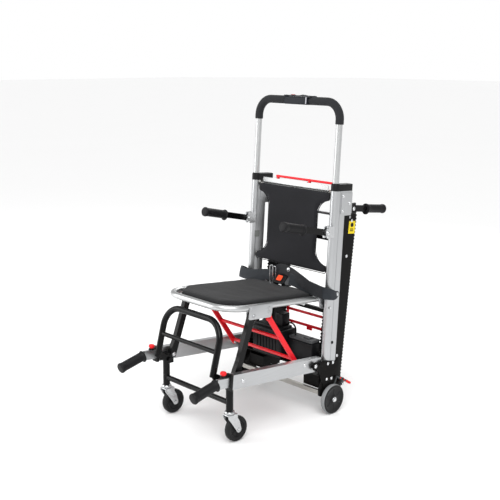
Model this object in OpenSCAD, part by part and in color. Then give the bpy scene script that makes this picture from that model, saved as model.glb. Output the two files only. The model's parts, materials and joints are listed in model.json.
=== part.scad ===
// Folding stair chair with carry handles and a pair of stair tracks behind the back.
// The seated person faces -Y, the left side is +X, and the ground is z = 0.

/* [Frame] */
// Half the distance between the two upright extrusions, centre to centre
upright_x = 225; // [215:1:235]
// Backward lean of the uprights in degrees
lean = 3.25; // [2:0.25:4]
// Height of the top ends of the uprights
upright_top = 913; // [900:1:920]
// Height of the bottom ends of the uprights
upright_bottom = 204; // [200:1:208]

/* [Folding linkage] */
// Downward slope of the seat and the side rails towards the back in degrees
fold_slope = 5; // [4:0.5:6]
// Length of the seat side and of the rail between their two pivots
link_len = 385; // [380:1:390]
// Forward distance of the lower leg pivot
leg_foot_y = -193; // [-195:1:-190]
// Height of the lower leg pivot
leg_foot_z = 252; // [250:1:254]
// Backward step of the upper leg pivot from the lower one
leg_step_y = 83; // [80:1:86]
// Height of the upper leg pivot above the lower one
leg_step_z = 226; // [224:1:228]

/* [Handles] */
// Height of the centre of the push bar
push_top = 1256; // [1240:1:1270]
// Length of the rubber grip on each carry handle
grip_len = 118; // [110:1:122]
// Radius of the carry handle grips
grip_r = 17.5; // [16:0.5:18]

/* [Wheels] */
// Radius of the front swivel casters
caster_r = 50; // [46:1:50]
// Radius of the rear wheels
rear_r = 61.5; // [58:0.5:62]

/* [Tracks] */
// Backward lean of the stowed tracks in degrees
track_lean = 6.4; // [5.5:0.1:7]
// Distance between the bottom and top roller of a track
track_len = 669; // [650:1:680]
// Number of rubber lugs along one straight run of a belt
run_lugs = 48; // [30:1:52]

/* [Hidden] */
$fn = 64;

// the whole chair is moved along Y so that its box is centred on the origin
y_shift = -91.77;
run = 0.08;          // radial room of a pin in its bore
gap = 0.5;           // side room between parts that move past each other
base_y = 284;        // axis of the uprights at base_z
base_z = 500;

tube_r = 12.5;
push_r = 12.7;
foam_r = 16.5;
front_r = 17;        // round front of an upright
upright_d = 44;      // flat part of an upright behind its axis
box_d = 84;          // rear face of the deep box behind the axis
box_from = 314;      // its lower end, above base_z
up_from = upright_bottom - base_z;
up_to = upright_top - base_z;
cap_h = 27;
push_z = (push_top - base_z) / cos(lean);
push_bend = 68;
foam_from = 672;
push_from = 250;

// pivots, as [y, z]
leg_low = [leg_foot_y, leg_foot_z];
leg_high = leg_low + [leg_step_y, leg_step_z];
link = link_len * [cos(fold_slope), -sin(fold_slope)];
rail_pivot = leg_low + link;
seat_pivot = leg_high + link;
leg_len = norm([leg_step_y, leg_step_z]);
leg_lean = atan2(leg_step_y, leg_step_z);
brace_pivot = [141, 232];
brace_top = [-9, 446];
foot_pivot = [-222, 240];
foot_base = [-284, 269];
foot_lean = 14.7;
foot_len = 205;
arm_pivot = [255, 752];
arm_rise = 12.5;
rear_pivot = [405, 832];
rear_drop = 6.8;
axle = [281, rear_r];
brake_pivot = [340, 112];
drive_pivot = [354, 125];
belt_anchor = [311, 495];
release_z = 424;     // hinge of the release bar, above base_z

seat_x = 186;        // centre of the seat tubes
seat_rise = 29;      // seat tubes above the line of their pivots
seat_front = -508;   // front tube, along the seat from the rear pivot
seat_bend = 90;
pad_half = 171.5;
pad_low = seat_rise - 5;
pad_top = seat_rise + 17.5;

rail_x0 = 207;
rail_x1 = 233;
rail_half = 28;
rail_front = -437;
grip_drop = 18.5;     // downward tilt of the front grips
bar_slot_end = -240;  // slot of the front handle bar round the lower leg pivot, open at its rear
leg_x0 = 178;
leg_x1 = 198;
caster_x = 190;
caster_y = -222;
caster_trail = 32;
foot_x = 165;
foot_bend = 80;
plate_x = 242;       // inner face of the rear plates
plate_t = 4;
wheel_w = 22;
wheel_x = 259;

belt_x0 = 147;
belt_x1 = 197;
roller_r = 39;
belt_t = 5;
lug_h = 4.5;
belt_half = roller_r + belt_t;
plate_half = 38;     // track side plates
end_lugs = 10;       // lugs round each end of a belt
pedal_hinge = [46, 232];

// ---------- shared shapes ----------
module place() translate([0, y_shift, 0]) children();
module both() { children(); mirror([1, 0, 0]) children(); }
module side(s) if (s > 0) children(); else mirror([1, 0, 0]) children();
module lean_frame() translate([0, base_y, base_z]) rotate([-lean, 0, 0]) children();
module on_pivot(p, a) translate([0, p[0], p[1]]) rotate([-a, 0, 0]) children();
module seat_plane() on_pivot(seat_pivot, fold_slope) children();
module rail_plane() on_pivot(rail_pivot, fold_slope) children();
module leg_plane() on_pivot(leg_low, leg_lean) children();
module foot_plane() on_pivot(foot_base, foot_lean) children();
module track_plane() on_pivot(drive_pivot, track_lean) children();

// round bar along X through the point p = [y, z]
module x_rod(x0, x1, p, r) translate([x0, p[0], p[1]]) rotate([0, 90, 0]) cylinder(h = x1 - x0, r = r);
// round bar along Y
module y_rod(x, y0, y1, z, r) translate([x, y0, z]) rotate([-90, 0, 0]) cylinder(h = y1 - y0, r = r);
// plate of a (y, z) outline, from x0 to x1
module x_plate(x0, x1) translate([x0, 0, 0]) rotate([90, 0, 90]) linear_extrude(x1 - x0) children();
module block(x0, x1, y0, y1, z0, z1) translate([x0, y0, z0]) cube([x1 - x0, y1 - y0, z1 - z0]);

// rectangle with true round corners, from its lower corner
module round_rect(w, h, r) {
    translate([r, 0]) square([w - 2 * r, h]);
    translate([0, r]) square([w, h - 2 * r]);
    for (x = [r, w - r], y = [r, h - r]) translate([x, y]) circle(r);
}
// flat strip between two (y, z) points with round ends
module strip(p, q, w) {
    d = q - p;
    translate(p) rotate(atan2(d[1], d[0])) translate([0, -w / 2]) square([norm(d), w]);
    translate(p) circle(w / 2);
    translate(q) circle(w / 2);
}
// top of an inverted U tube in the XZ plane, with legs down to z = -drop
module u_tube(half, bend, drop, r) {
    both() {
        translate([half, 0, -drop]) cylinder(h = drop - bend, r = r);
        translate([half - bend, 0, -bend]) rotate([90, 0, 0])
            rotate_extrude(angle = 90) translate([bend, 0]) circle(r);
    }
    x_rod(-(half - bend), half - bend, [0, 0], r);
}
// grip along -Y from y = 0, with a flange ring at each end
module grip(len, r, bore) difference() {
    union() {
        y_rod(0, -len, 0, 0, r);
        for (y = [-len, -len + 12, -5]) y_rod(0, y, y + 5, 0, r + 2.5);
    }
    y_rod(0, -len + 10, 1, 0, bore);
}

// ---------- bolts shared by the parts that they hold ----------
module seat_bolts(e) both() x_rod(170, plate_x, seat_pivot, 5 + e);
module rail_bolts(e) both() x_rod(rail_x0 - 8, plate_x + plate_t, rail_pivot, 6 + e);
upper_bolts = [[264, 213], [294, 211]];
lower_bolts = [[258, 148], [287, 145]];
module plate_bolts(e) both() {
    for (p = upper_bolts) x_rod(203, plate_x + plate_t, p, 4 + e);
    for (p = lower_bolts) x_rod(232, plate_x + plate_t, p, 4 + e);
}
module axle_bolts(e) both() x_rod(plate_x, plate_x + plate_t, axle, 5 + e);
module brake_bolts(e) both() x_rod(plate_x, plate_x + plate_t, brake_pivot, 4 + e);

// ---------- uprights and fixed frame ----------
module upright(s) color("gainsboro") side(s) difference() {
    lean_frame() translate([upright_x, 0, up_from]) linear_extrude(up_to - up_from) difference() {
        union() {
            circle(front_r);
            translate([-front_r, 0]) square([2 * front_r, upright_d]);
        }
        circle(push_r + 0.1);
        translate([-front_r + 3, 17]) square([2 * front_r - 6, upright_d - 20]);
        for (x = [-front_r, front_r]) translate([x - 1, 12]) square([2, 2]);
    }
    seat_bolts(0);
    plate_bolts(0);
}
module upright_left() place() upright(1);
module upright_right() place() upright(-1);

module upright_caps() color("#17181a") place() lean_frame() both()
    translate([upright_x, 0, up_to]) linear_extrude(cap_h) difference() {
        translate([-18, -18]) round_rect(36, box_d + 20, 6);
        circle(push_r + 0.1);
    }

module upright_rear_boxes() color("gainsboro") place() lean_frame() both()
    translate([upright_x, 0, box_from]) difference() {
        union() {
            linear_extrude(up_to - box_from) difference() {
                translate([-front_r, upright_d]) square([2 * front_r, box_d - upright_d]);
                translate([-front_r + 3, upright_d + 3]) square([2 * front_r - 6, box_d - upright_d - 6]);
            }
            translate([front_r, 20, 8]) cube([2, box_d - 20, up_to - box_from - 16]);
            for (p = [[30, 20], [30, up_to - box_from - 20], [70, (up_to - box_from) / 2]])
                translate([front_r + 2, p[0], p[1]]) rotate([0, 90, 0]) cylinder(h = 2, r = 4);
        }
    }

module release_ears() for (x = [-119, 60])
    translate([x, 0, 0]) rotate([90, 0, 90]) linear_extrude(6) difference() {
        union() { translate([17.5, release_z]) circle(8); translate([9.5, 408]) square([16, release_z - 408]); }
        translate([17.5, release_z]) circle(3 + run);
    }
module back_crossbars() color("gainsboro") place() lean_frame() {
    for (z = [90, 400]) x_rod(-upright_x + front_r, upright_x - front_r, [17.5, z], tube_r);
    release_ears();
}

// black back panel with a waist, fixed in front of the two crossbars
module back_panel() color("#1d1e20") place() lean_frame() translate([0, 5, 0]) rotate([90, 0, 0])
    linear_extrude(12) difference() {
        translate([-202, 74]) round_rect(404, 334, 10);
        both() translate([142, 104]) round_rect(150, 266, 50);
    }

module rear_plates() color("#17181a") place() both() difference() {
    x_plate(plate_x, plate_x + plate_t) {
        polygon([[176, 246], [312, 213], [330, 226], [346, 122], [340, 100], [297, 62], [268, 50],
                 [256, 108], [228, 190], [178, 206]]);
        translate(rail_pivot) circle(27);
        translate(axle) circle(18);
        translate(brake_pivot) circle(14);
    }
    rail_bolts(0);
    plate_bolts(0);
    axle_bolts(0);
    brake_bolts(0);
}

// plates inside the uprights that hold the drive shaft, and the tray of the drive
module base_brackets() color("#17181a") place() difference() {
    union() {
        both() {
            x_plate(205, 208) {
                polygon([[256, 256], [306, 256], [378, 130], [330, 102], [262, 150]]);
                translate(drive_pivot) circle(25);
            }
            block(120, 205, 256, 300, 98, 150);
            x_plate(203, 205) polygon([[256, 180], [302, 180], [302, 256], [256, 256]]);
        }
        block(-203, 203, 210, 302, 186, 190);
    }
    both() x_rod(200, 210, drive_pivot, 8 + run);
    plate_bolts(0);
}

module frame_fasteners() color("silver") place() {
    seat_bolts(0);
    rail_bolts(0);
    plate_bolts(0);
    both() {
        for (p = [arm_pivot, rear_pivot]) {
            x_rod(upright_x - 15, upright_x + 15, p, 4);
            for (x = [upright_x - 18, upright_x + 15]) x_rod(x, x + 3, p, 7);
        }
        x_rod(plate_x, plate_x + 4, seat_pivot, 9);
        x_rod(plate_x - 34 - 5, plate_x - 34, seat_pivot, 8);
        x_rod(plate_x + plate_t, plate_x + plate_t + 6, rail_pivot, 12);
        x_rod(rail_x1 + gap, plate_x, rail_pivot, 10);
        for (p = concat(upper_bolts, lower_bolts)) x_rod(plate_x + plate_t, plate_x + plate_t + 1.8, p, 6);
        x_rod(plate_x, wheel_x + wheel_w / 2 + 1, axle, 5);
        x_rod(wheel_x + wheel_w / 2 + 1, wheel_x + wheel_w / 2 + 6, axle, 9);
        x_rod(plate_x, wheel_x + 5, brake_pivot, 4);
        x_rod(wheel_x + 5, wheel_x + 8, brake_pivot, 7);
        x_rod(plate_x, plate_x + 4, belt_anchor, 9);
    }
}

module armrest_brackets() color("silver") place() both() difference() {
    union() {
        block(upright_x - 15, upright_x + 15, 256, 292, 729.5, 774.5);
        x_plate(upright_x - 15, upright_x + 15) translate([arm_pivot[0], 752]) circle(14);
    }
    translate([upright_x - 6.3, 230, 720]) cube([12.6, 39, 70]);
    lean_frame() translate([upright_x, 0, 100]) cylinder(h = 300, r = front_r);
    x_rod(upright_x - 30, upright_x + 30, arm_pivot, 4);
}

module rear_handle_brackets() color("#17181a") place() both() difference() {
    block(upright_x - 15, upright_x + 15, 380, 418, 810, 855);
    translate([upright_x - 6.3, 391, 800]) cube([12.6, 40, 70]);
    lean_frame() translate([upright_x - 25, -5, box_from - 50]) cube([50, box_d + 5, 200]);
    x_rod(upright_x - 30, upright_x + 30, rear_pivot, 4);
}

// ---------- drive at the base ----------
module motor_housing() color("#1b1c1e") place() {
    translate([-138, 205, 190]) linear_extrude(118) round_rect(170, 97, 12);
    translate([-126, 217, 308]) linear_extrude(12) round_rect(146, 73, 10);
    for (x = [-110 : 18 : 4]) block(x, x + 6, 202, 206, 205, 290);
    translate([-40, 246, 320]) linear_extrude(52) round_rect(44, 44, 8);
}

module battery_box() color("#141516") place() {
    translate([36, 246, 190]) linear_extrude(88) round_rect(136, 56, 8);
    translate([40, 249, 278]) linear_extrude(12) round_rect(128, 50, 6);
    translate([110, 262, 290]) linear_extrude(5) round_rect(32, 26, 5);
}

module ribbed_crossbar() place() {
    color("silver") difference() {
        block(-232, 232, 229, 241, 84, 102);
        for (z = [87 : 4 : 99]) block(-240, 240, 228, 230, z, z + 2);
    }
    color("#17181a") both() difference() {
        x_plate(232, plate_x) polygon([[222, 80], [250, 78], [296, 134], [300, 160], [246, 160], [222, 112]]);
        plate_bolts(0);
    }
}

module motor_cable() color("#0c0c0d") place() {
    translate([32, 270, 310]) rotate([90, 0, 0]) rotate_extrude(angle = 180) translate([26, 0]) circle(3.5);
    translate([58, 270, 290]) cylinder(h = 20, r = 3.5);
}

// ---------- push handle ----------
module push_shape(r, half = upright_x) translate([0, 0, push_z]) u_tube(half, push_bend, push_z - push_from, r);
module push_handle_tube() color("silver") place() lean_frame() push_shape(push_r);

module push_handle_foam() color("#3a3b3d") place() lean_frame() difference() {
    translate([0, 0, push_z]) u_tube(upright_x, push_bend, push_z - foam_from, foam_r);
    push_shape(push_r + 0.02);
    block(-62, 67, -30, 30, push_z - 30, push_z + 30);
}

module control_box() color("#141516") place() lean_frame() difference() {
    translate([-62, 20, push_z - 17]) rotate([90, 0, 0]) linear_extrude(42) round_rect(129, 37, 9);
    x_rod(-80, 80, [0, push_z], push_r + 0.02);
    translate([-32, 0, push_z + 15]) cylinder(h = 10, r = 8.3);
    block(14, 40, -7.3, 7.3, push_z + 14.5, push_z + 30);
    y_rod(27, -12, 12, push_z + 17.2, 1.5 + run);
}
module power_button() color("firebrick") place() lean_frame()
    translate([-32, 0, push_z + 17.5]) cylinder(h = 5, r = 8);
module direction_switch() color("#2c2d2f") place() lean_frame() {
    x_shape = [[-11, 1], [0, -1.5], [11, 1], [11, 4], [0, 6], [-11, 4]];
    translate([27, 7, push_z + 17.2]) rotate([90, 0, 0]) linear_extrude(14) polygon(x_shape);
    y_rod(27, -11, 11, push_z + 17.2, 1.5);
}

module release_bar() color("#d8151d") place() lean_frame() {
    x_rod(-119, 195, [17.5, release_z + 14], 5);
    for (x = [-112.6, 66.4]) x_plate(x, x + 6) strip([17.5, release_z], [17.5, release_z + 14], 11);
    for (x = [-119, 60]) x_rod(x, x + 12, [17.5, release_z], 3);
}

// ---------- folding carry handles ----------
// arm along -Y from its pivot at the origin
module armrest_bar(s) color("#17181a") place() side(s) on_pivot(arm_pivot, arm_rise) difference() {
    union() {
        x_plate(upright_x - 6, upright_x + 6) strip([0, 0], [-118, 0], 25);
        y_rod(upright_x, -118 - grip_len + 10, -118, 0, 9);
    }
    x_rod(upright_x - 20, upright_x + 20, [0, 0], 4 + run);
}
module armrest_grip(s) color("#101112") place() side(s) on_pivot(arm_pivot, arm_rise)
    translate([upright_x, -131, 0]) grip(grip_len, grip_r, 9.02);
module armrest_bar_left() armrest_bar(1);
module armrest_bar_right() armrest_bar(-1);
module armrest_grip_left() armrest_grip(1);
module armrest_grip_right() armrest_grip(-1);

module rear_plane() translate([0, rear_pivot[0], rear_pivot[1]]) rotate([-rear_drop, 0, 0]) children();
module rear_handle_bar(s) color("#17181a") place() side(s) rear_plane() difference() {
    union() {
        x_plate(upright_x - 6, upright_x + 6) strip([0, 0], [76, 0], 26);
        y_rod(upright_x, 76, 92 + grip_len - 10, 0, 9);
    }
    x_rod(upright_x - 20, upright_x + 20, [0, 0], 4 + run);
}
module rear_handle_grip(s) color("#101112") place() side(s) rear_plane()
    translate([upright_x, 92, 0]) rotate([0, 0, 180]) grip(grip_len, grip_r, 9.02);
module rear_handle_bar_left() rear_handle_bar(1);
module rear_handle_bar_right() rear_handle_bar(-1);
module rear_handle_grip_left() rear_handle_grip(1);
module rear_handle_grip_right() rear_handle_grip(-1);

// ---------- seat ----------
module seat_tube(r) {
    both() {
        y_rod(seat_x, seat_front + seat_bend, 22, seat_rise, r);
        translate([seat_x - seat_bend, seat_front + seat_bend, seat_rise]) rotate([0, 0, -90])
            rotate_extrude(angle = 90) translate([seat_bend, 0]) circle(r);
    }
    x_rod(-seat_x + seat_bend, seat_x - seat_bend, [seat_front, seat_rise], r);
}
module seat_frame() color("silver") place() seat_plane() {
    seat_tube(tube_r);
    for (y = [-345, -95]) x_rod(-seat_x, seat_x, [y, pad_low - 8], 7.9);
}
module seat_brackets() color("gainsboro") place() seat_plane() both() difference() {
    union() {
        x_plate(198.5, 202.5) {
            polygon([[-443, 20], [-443, 42], [-327, 42], [-327, 20], [-372, -13], [-398, -13]]);
            polygon([[-30, 42], [24, 42], [24, 20], [16, -10], [-16, -10]]);
            circle(16);
        }
        for (y = [-432, -338, -20, 14]) x_rod(202.5, 204.5, [y, seat_rise], 4);
        x_rod(173, 202.5, [-link_len, 0], 5);
        x_rod(202.5, 206, [-link_len, 0], 9);
        x_rod(168, 173, [-link_len, 0], 9);
    }
    x_rod(190, 210, [0, 0], 5 + run);
}

// cushion with cut corners at the front
module pad_outline() polygon([[-pad_half, -14], [-pad_half, -392], [-104, -482], [104, -482],
                              [pad_half, -392], [pad_half, -14]]);
module seat_pad() color("#2b2c2f") place() seat_plane() translate([0, 0, pad_low])
    linear_extrude(pad_top - pad_low) pad_outline();

// lap belt: a band round each upright and a tail that lies on the cushion
module seat_belt() color("#1a1c24") place() {
    both() {
        x_plate(plate_x + 0.3, plate_x + 3.3) difference() {
            translate([262, 478]) rotate(18) square([58, 40]);
            translate(belt_anchor) circle(9.6);
        }
        block(168, plate_x + 3.3, 259.5, 262.5, 497, 536);
    }
    seat_plane() {
        translate([168, -16, pad_top + 0.5]) rotate([0, 0, 194]) cube([150, 44, 2.4]);
        translate([-168, -60, pad_top + 0.5]) rotate([0, 0, -14]) cube([120, 44, 2.4]);
    }
}
module buckle_plane() seat_plane() translate([-10, -34, pad_top + 27]) rotate([52, 0, 0]) children();
module belt_buckle() color("#141516") place() buckle_plane() difference() {
    translate([-32, -24, -9]) linear_extrude(18) round_rect(64, 48, 9);
    block(-14, 14, -13, 13, 3, 20);
}
module buckle_button() color("#e2401f") place() buckle_plane()
    translate([-13.7, -12.7, 7]) linear_extrude(5) round_rect(27.4, 25.4, 4);

// ---------- side rails, legs, brace and footrest ----------
module side_rails() color("gainsboro") place() both() difference() {
    rail_plane() difference() {
        block(rail_x0, rail_x1, rail_front, 44, -rail_half, rail_half);
        block(rail_x0 + 3, rail_x1 - 3, rail_front - 1, 45, -rail_half + 3, rail_half - 3);
    }
    x_rod(rail_x0 - 1, rail_x1 + 1, rail_pivot, 6 + run);
    rail_pins(0);
}
module rail_pins(head) both() {
    x_rod(leg_x0, rail_x1 + head, leg_low, 5);
    x_rod(176, rail_x1 + head, brace_pivot, 4);
}
module rail_pivots() color("silver") place() {
    rail_pins(0.1);
    both() {
        x_rod(leg_x0 - 5, leg_x0, leg_low, 8);
        x_rod(171, 176, brace_pivot, 8);
        x_rod(184.5, rail_x0, brace_pivot, 7);
        for (p = [leg_low, brace_pivot]) x_rod(rail_x1, rail_x1 + 4, p, 9);
    }
}
module rail_endcaps() color("#141516") place() both() rail_plane() difference() {
    union() {
        block(rail_x0 - 2, rail_x1 + 2, rail_front - 10, rail_front, -rail_half - 3, rail_half + 3);
        block(upright_x - 14, upright_x - 6, rail_front - 46, rail_front - 10, 21, 27);
        translate([upright_x - 10, rail_front - 34, 21]) cylinder(h = 6, r = 10);
        block(rail_x0 - 1, rail_x1 + 1, 44, 47, -rail_half, rail_half);
    }
    block(rail_x0 + 5.2, rail_x1 - 5.2, rail_front - 20, rail_front + 1, -19.5, 19.5);
    translate([upright_x - 10, rail_front - 34, 10]) cylinder(h = 30, r = 4 + run);
}
module front_legs() color("#17181a") place() both() difference() {
    union() {
        leg_plane() x_plate(leg_x0, leg_x1) {
            strip([0, 0], [0, leg_len], 26);
            polygon([[-17, -10], [13, -10], [13, 60], [-13, 60], [-17, 30]]);
        }
        translate([caster_x, caster_y, 130]) cylinder(h = 133, r = 14);
        block(leg_x0 + 2, leg_x1 - 2, caster_y, leg_foot_y, 218, 256);
        x_rod(-caster_x + 12, caster_x - 12, [caster_y, 160], 10.5);
        leg_plane() x_rod(leg_x1, rail_x0 - gap, [0, 0], 10);
    }
    x_rod(leg_x0 - 20, rail_x0 + 20, leg_high, 6.2);
    x_rod(leg_x0 - 20, rail_x0 + 20, leg_low, 5 + run);
    translate([caster_x, caster_y, 120]) cylinder(h = 70, r = 6 + run);
    x_rod(leg_x0 - 20, caster_x + 20, foot_pivot, 5 + run);
}

module red_brace() color("#d8151d") place() {
    both() difference() {
        x_plate(176, 184) {
            strip(brace_pivot, brace_top, 20);
            translate(brace_top) circle(13);
        }
        x_rod(170, 190, brace_pivot, 4 + run);
        x_rod(170, 190, brace_top, 4);
    }
    brace_angle = atan2(brace_pivot[0] - brace_top[0], brace_top[1] - brace_pivot[1]);
    on_pivot(brace_pivot, -brace_angle) for (z = [10, norm(brace_top - brace_pivot) / 2])
        block(-176, 176, -3, 4, z, z + 15);
}

module footrest_frame() color("#17181a") place() {
    foot_plane() {
        translate([0, 0, foot_len]) u_tube(foot_x, foot_bend, foot_len, tube_r);
        x_rod(-foot_x, foot_x, [0, 92], 9);
    }
    both() {
        x_plate(170, 175.5) strip(foot_pivot, foot_base + [6, 2], 26);
        x_rod(164, caster_x - 4, foot_pivot, 5);
        x_rod(161, 170, foot_pivot, 9);
    }
}

// ---------- front carry handles ----------
module front_handle_bar(s) color("gainsboro") place() side(s) rail_plane() {
    difference() {
        block(upright_x - 5 - 6.5, upright_x - 5 + 6.5, rail_front - 68, rail_front + 180, -18.5, 18.5);
        x_plate(upright_x - 15, upright_x + 5) strip([-link_len, 0], [bar_slot_end, 0], 12);
    }
    translate([upright_x - 5, rail_front - 70, 0]) rotate([grip_drop, 0, 0]) y_rod(0, -105, 4, 0, 9);
}
module front_handle_grip(s) color("#101112") place() side(s) rail_plane()
    translate([upright_x - 5, rail_front - 70, 0]) rotate([grip_drop, 0, 0]) difference() {
        grip(116, 19, 9.02);
        rotate([-grip_drop, 0, 0]) block(-8, 8, -9, 20, -19, 19);
    }
module front_handle_bar_left() front_handle_bar(1);
module front_handle_bar_right() front_handle_bar(-1);
module front_handle_grip_left() front_handle_grip(1);
module front_handle_grip_right() front_handle_grip(-1);
module handle_knob(s) color("#d8151d") place() side(s) rail_plane()
    translate([upright_x - 10, rail_front - 34, 21]) {
        cylinder(h = 10, r = 4);
        translate([0, 0, 6.5]) cylinder(h = 4, r = 8);
        translate([0, 0, 10.5]) cylinder(h = 9, r = 12);
        translate([0, 0, 19.5]) cylinder(h = 3, r = 9);
    }
module handle_knob_left() handle_knob(1);
module handle_knob_right() handle_knob(-1);

// ---------- casters and wheels ----------
caster_axle = [caster_y + caster_trail, caster_r];
module caster_fork(s) color("silver") place() side(s) {
    translate([caster_x, caster_y, 118]) cylinder(h = 64, r = 6);
    translate([caster_x, caster_y, 116]) cylinder(h = 12, r = 19);
    block(caster_x - 18, caster_x + 18, caster_y - 20, caster_y + 26, 112, 117);
    for (x = [-18, 15]) x_plate(caster_x + x, caster_x + x + 3) {
        polygon([[caster_y - 20, 117], [caster_y + 26, 117], [caster_axle[0] + 13, caster_r + 4],
                 [caster_axle[0] - 12, caster_r - 5]]);
        translate(caster_axle) circle(13);
    }
    x_rod(caster_x - 15, caster_x + 15, caster_axle, 4);
    for (x = [-22, 18]) x_rod(caster_x + x, caster_x + x + 4, caster_axle, 7);
}
module caster_wheel(s) color("#1a1a1b") place() side(s)
    translate([caster_x, caster_axle[0], caster_r]) rotate([0, 90, 0]) rotate_extrude($fn = 96) polygon([
        [4 + run, -14], [12, -14], [12, -9], [34, -9], [36, -12], [43, -13], [48, -9], [caster_r, -5],
        [caster_r, 5], [48, 9], [43, 13], [36, 12], [34, 9], [12, 9], [12, 14], [4 + run, 14]]);
module rear_wheel(s) color("#232425") place() side(s)
    translate([wheel_x, axle[0], axle[1]]) rotate([0, 90, 0]) rotate_extrude($fn = 96) polygon([
        [5 + run, -11.5], [18, -11.5], [20, -7], [44, -7], [48, -11], [rear_r - 4, -11], [rear_r, -7],
        [rear_r, 7], [rear_r - 4, 11], [48, 11], [44, 7], [20, 7], [18, 11.5], [5 + run, 11.5]]);
module caster_fork_left() caster_fork(1);
module caster_fork_right() caster_fork(-1);
module caster_wheel_left() caster_wheel(1);
module caster_wheel_right() caster_wheel(-1);
module rear_wheel_left() rear_wheel(1);
module rear_wheel_right() rear_wheel(-1);

// pedal with a shoe that presses on the rear wheel
module brake(s) color("#c8141b") place() side(s) difference() {
    x_plate(plate_x + plate_t + 4, wheel_x + 4) {
        strip([314, 146], [342, 132], 8);
        strip([342, 132], [388, 104], 9);
        translate(brake_pivot) circle(10);
        strip([342, 132], brake_pivot, 14);
    }
    x_rod(plate_x, wheel_x + 20, brake_pivot, 4 + run);
}
module brake_left() brake(1);
module brake_right() brake(-1);

// ---------- stair tracks ----------
module track_loop(half) {
    translate([-half, 0]) square([2 * half, track_len]);
    circle(half, $fn = 96);
    translate([0, track_len]) circle(half, $fn = 96);
}
module track_frame() color("#17181a") place() track_plane() difference() {
    union() {
        both() {
            for (x = [belt_x0 - 5, belt_x1 + 1.5]) x_plate(x, x + 4) {
                translate([-plate_half, 0]) square([2 * plate_half, track_len]);
                circle(plate_half);
                translate([0, track_len]) circle(plate_half);
            }
            x_plate(belt_x0 - 5, belt_x0 - 1) translate([20, 222]) square([36, 42]);
            for (y = [-38, 33]) block(belt_x0 - 1, belt_x1 + 1.5, y, y + 5, 52, track_len - 52);
            for (z = [90, 320, 550]) block(belt_x0 - 1, belt_x1 + 1.5, -26, 26, z, z + 30);
        }
        block(-belt_x0 + 5, belt_x0 - 5, 34, 52, 242, 258);
        block(-belt_x0 + 5, belt_x0 - 5, -20, 20, 560, 580);
    }
    x_rod(-220, 220, [0, 0], 8 + run);
    x_rod(-220, 220, [0, track_len], 6 + run);
    both() x_rod(120, 160, pedal_hinge, 4 + run);
}
module lug() square([lug_h + 1, 7], center = true);
module belt_shape() difference() {
    lug_at = belt_half + lug_h / 2 - 0.5;
    union() {
        track_loop(belt_half);
        for (i = [0 : run_lugs - 1]) for (s = [-1, 1])
            translate([s * lug_at, (i + 0.5) * track_len / run_lugs]) lug();
        for (i = [0 : end_lugs - 1]) for (e = [0, 1])
            translate([0, e * track_len]) rotate(e * 180 + 180 + (i + 0.5) * 180 / end_lugs)
                translate([lug_at, 0]) lug();
    }
    track_loop(roller_r);
}
module track_belts() color("#19191a") place() track_plane() both() x_plate(belt_x0, belt_x1) belt_shape();

// belt rollers on a shaft
module roller_pair(half, r) {
    x_rod(-half, half, [0, 0], r);
    both() difference() {
        x_rod(belt_x0 + 1, belt_x1 - 1, [0, 0], roller_r - 0.3);
        x_rod(belt_x0, belt_x1, [0, 0], r - 0.5);
    }
}
module drive_shaft() color("dimgray") place() track_plane() roller_pair(208, 8);
module idler_rollers() color("dimgray") place() track_plane() translate([0, 0, track_len]) roller_pair(202, 6);

// foot frame that hangs between the tracks
module track_pedal() color("#d8151d") place() track_plane() {
    both() {
        x_plate(134, 140) strip(pedal_hinge, [46, 165], 12);
        x_rod(134, belt_x0 - gap, pedal_hinge, 4);
    }
    for (z = [160, 213]) block(-134, 134, 43, 49, z, z + 11);
    block(-14, 14, 43, 49, 148, 161);
}

upright_left();
upright_right();
upright_caps();
upright_rear_boxes();
back_crossbars();
back_panel();
rear_plates();
base_brackets();
frame_fasteners();
armrest_brackets();
rear_handle_brackets();
motor_housing();
battery_box();
ribbed_crossbar();
motor_cable();
push_handle_tube();
push_handle_foam();
control_box();
power_button();
direction_switch();
release_bar();
armrest_bar_left();
armrest_bar_right();
armrest_grip_left();
armrest_grip_right();
rear_handle_bar_left();
rear_handle_bar_right();
rear_handle_grip_left();
rear_handle_grip_right();
seat_frame();
seat_brackets();
seat_pad();
seat_belt();
belt_buckle();
buckle_button();
side_rails();
rail_endcaps();
rail_pivots();
front_legs();
red_brace();
footrest_frame();
front_handle_bar_left();
front_handle_bar_right();
front_handle_grip_left();
front_handle_grip_right();
handle_knob_left();
handle_knob_right();
caster_fork_left();
caster_fork_right();
caster_wheel_left();
caster_wheel_right();
rear_wheel_left();
rear_wheel_right();
brake_left();
brake_right();
track_frame();
track_belts();
drive_shaft();
idler_rollers();
track_pedal();
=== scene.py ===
import json
from math import sin, cos, exp, pi, radians, sqrt, atan2
import bpy
from mathutils import Matrix, Vector, noise

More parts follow.
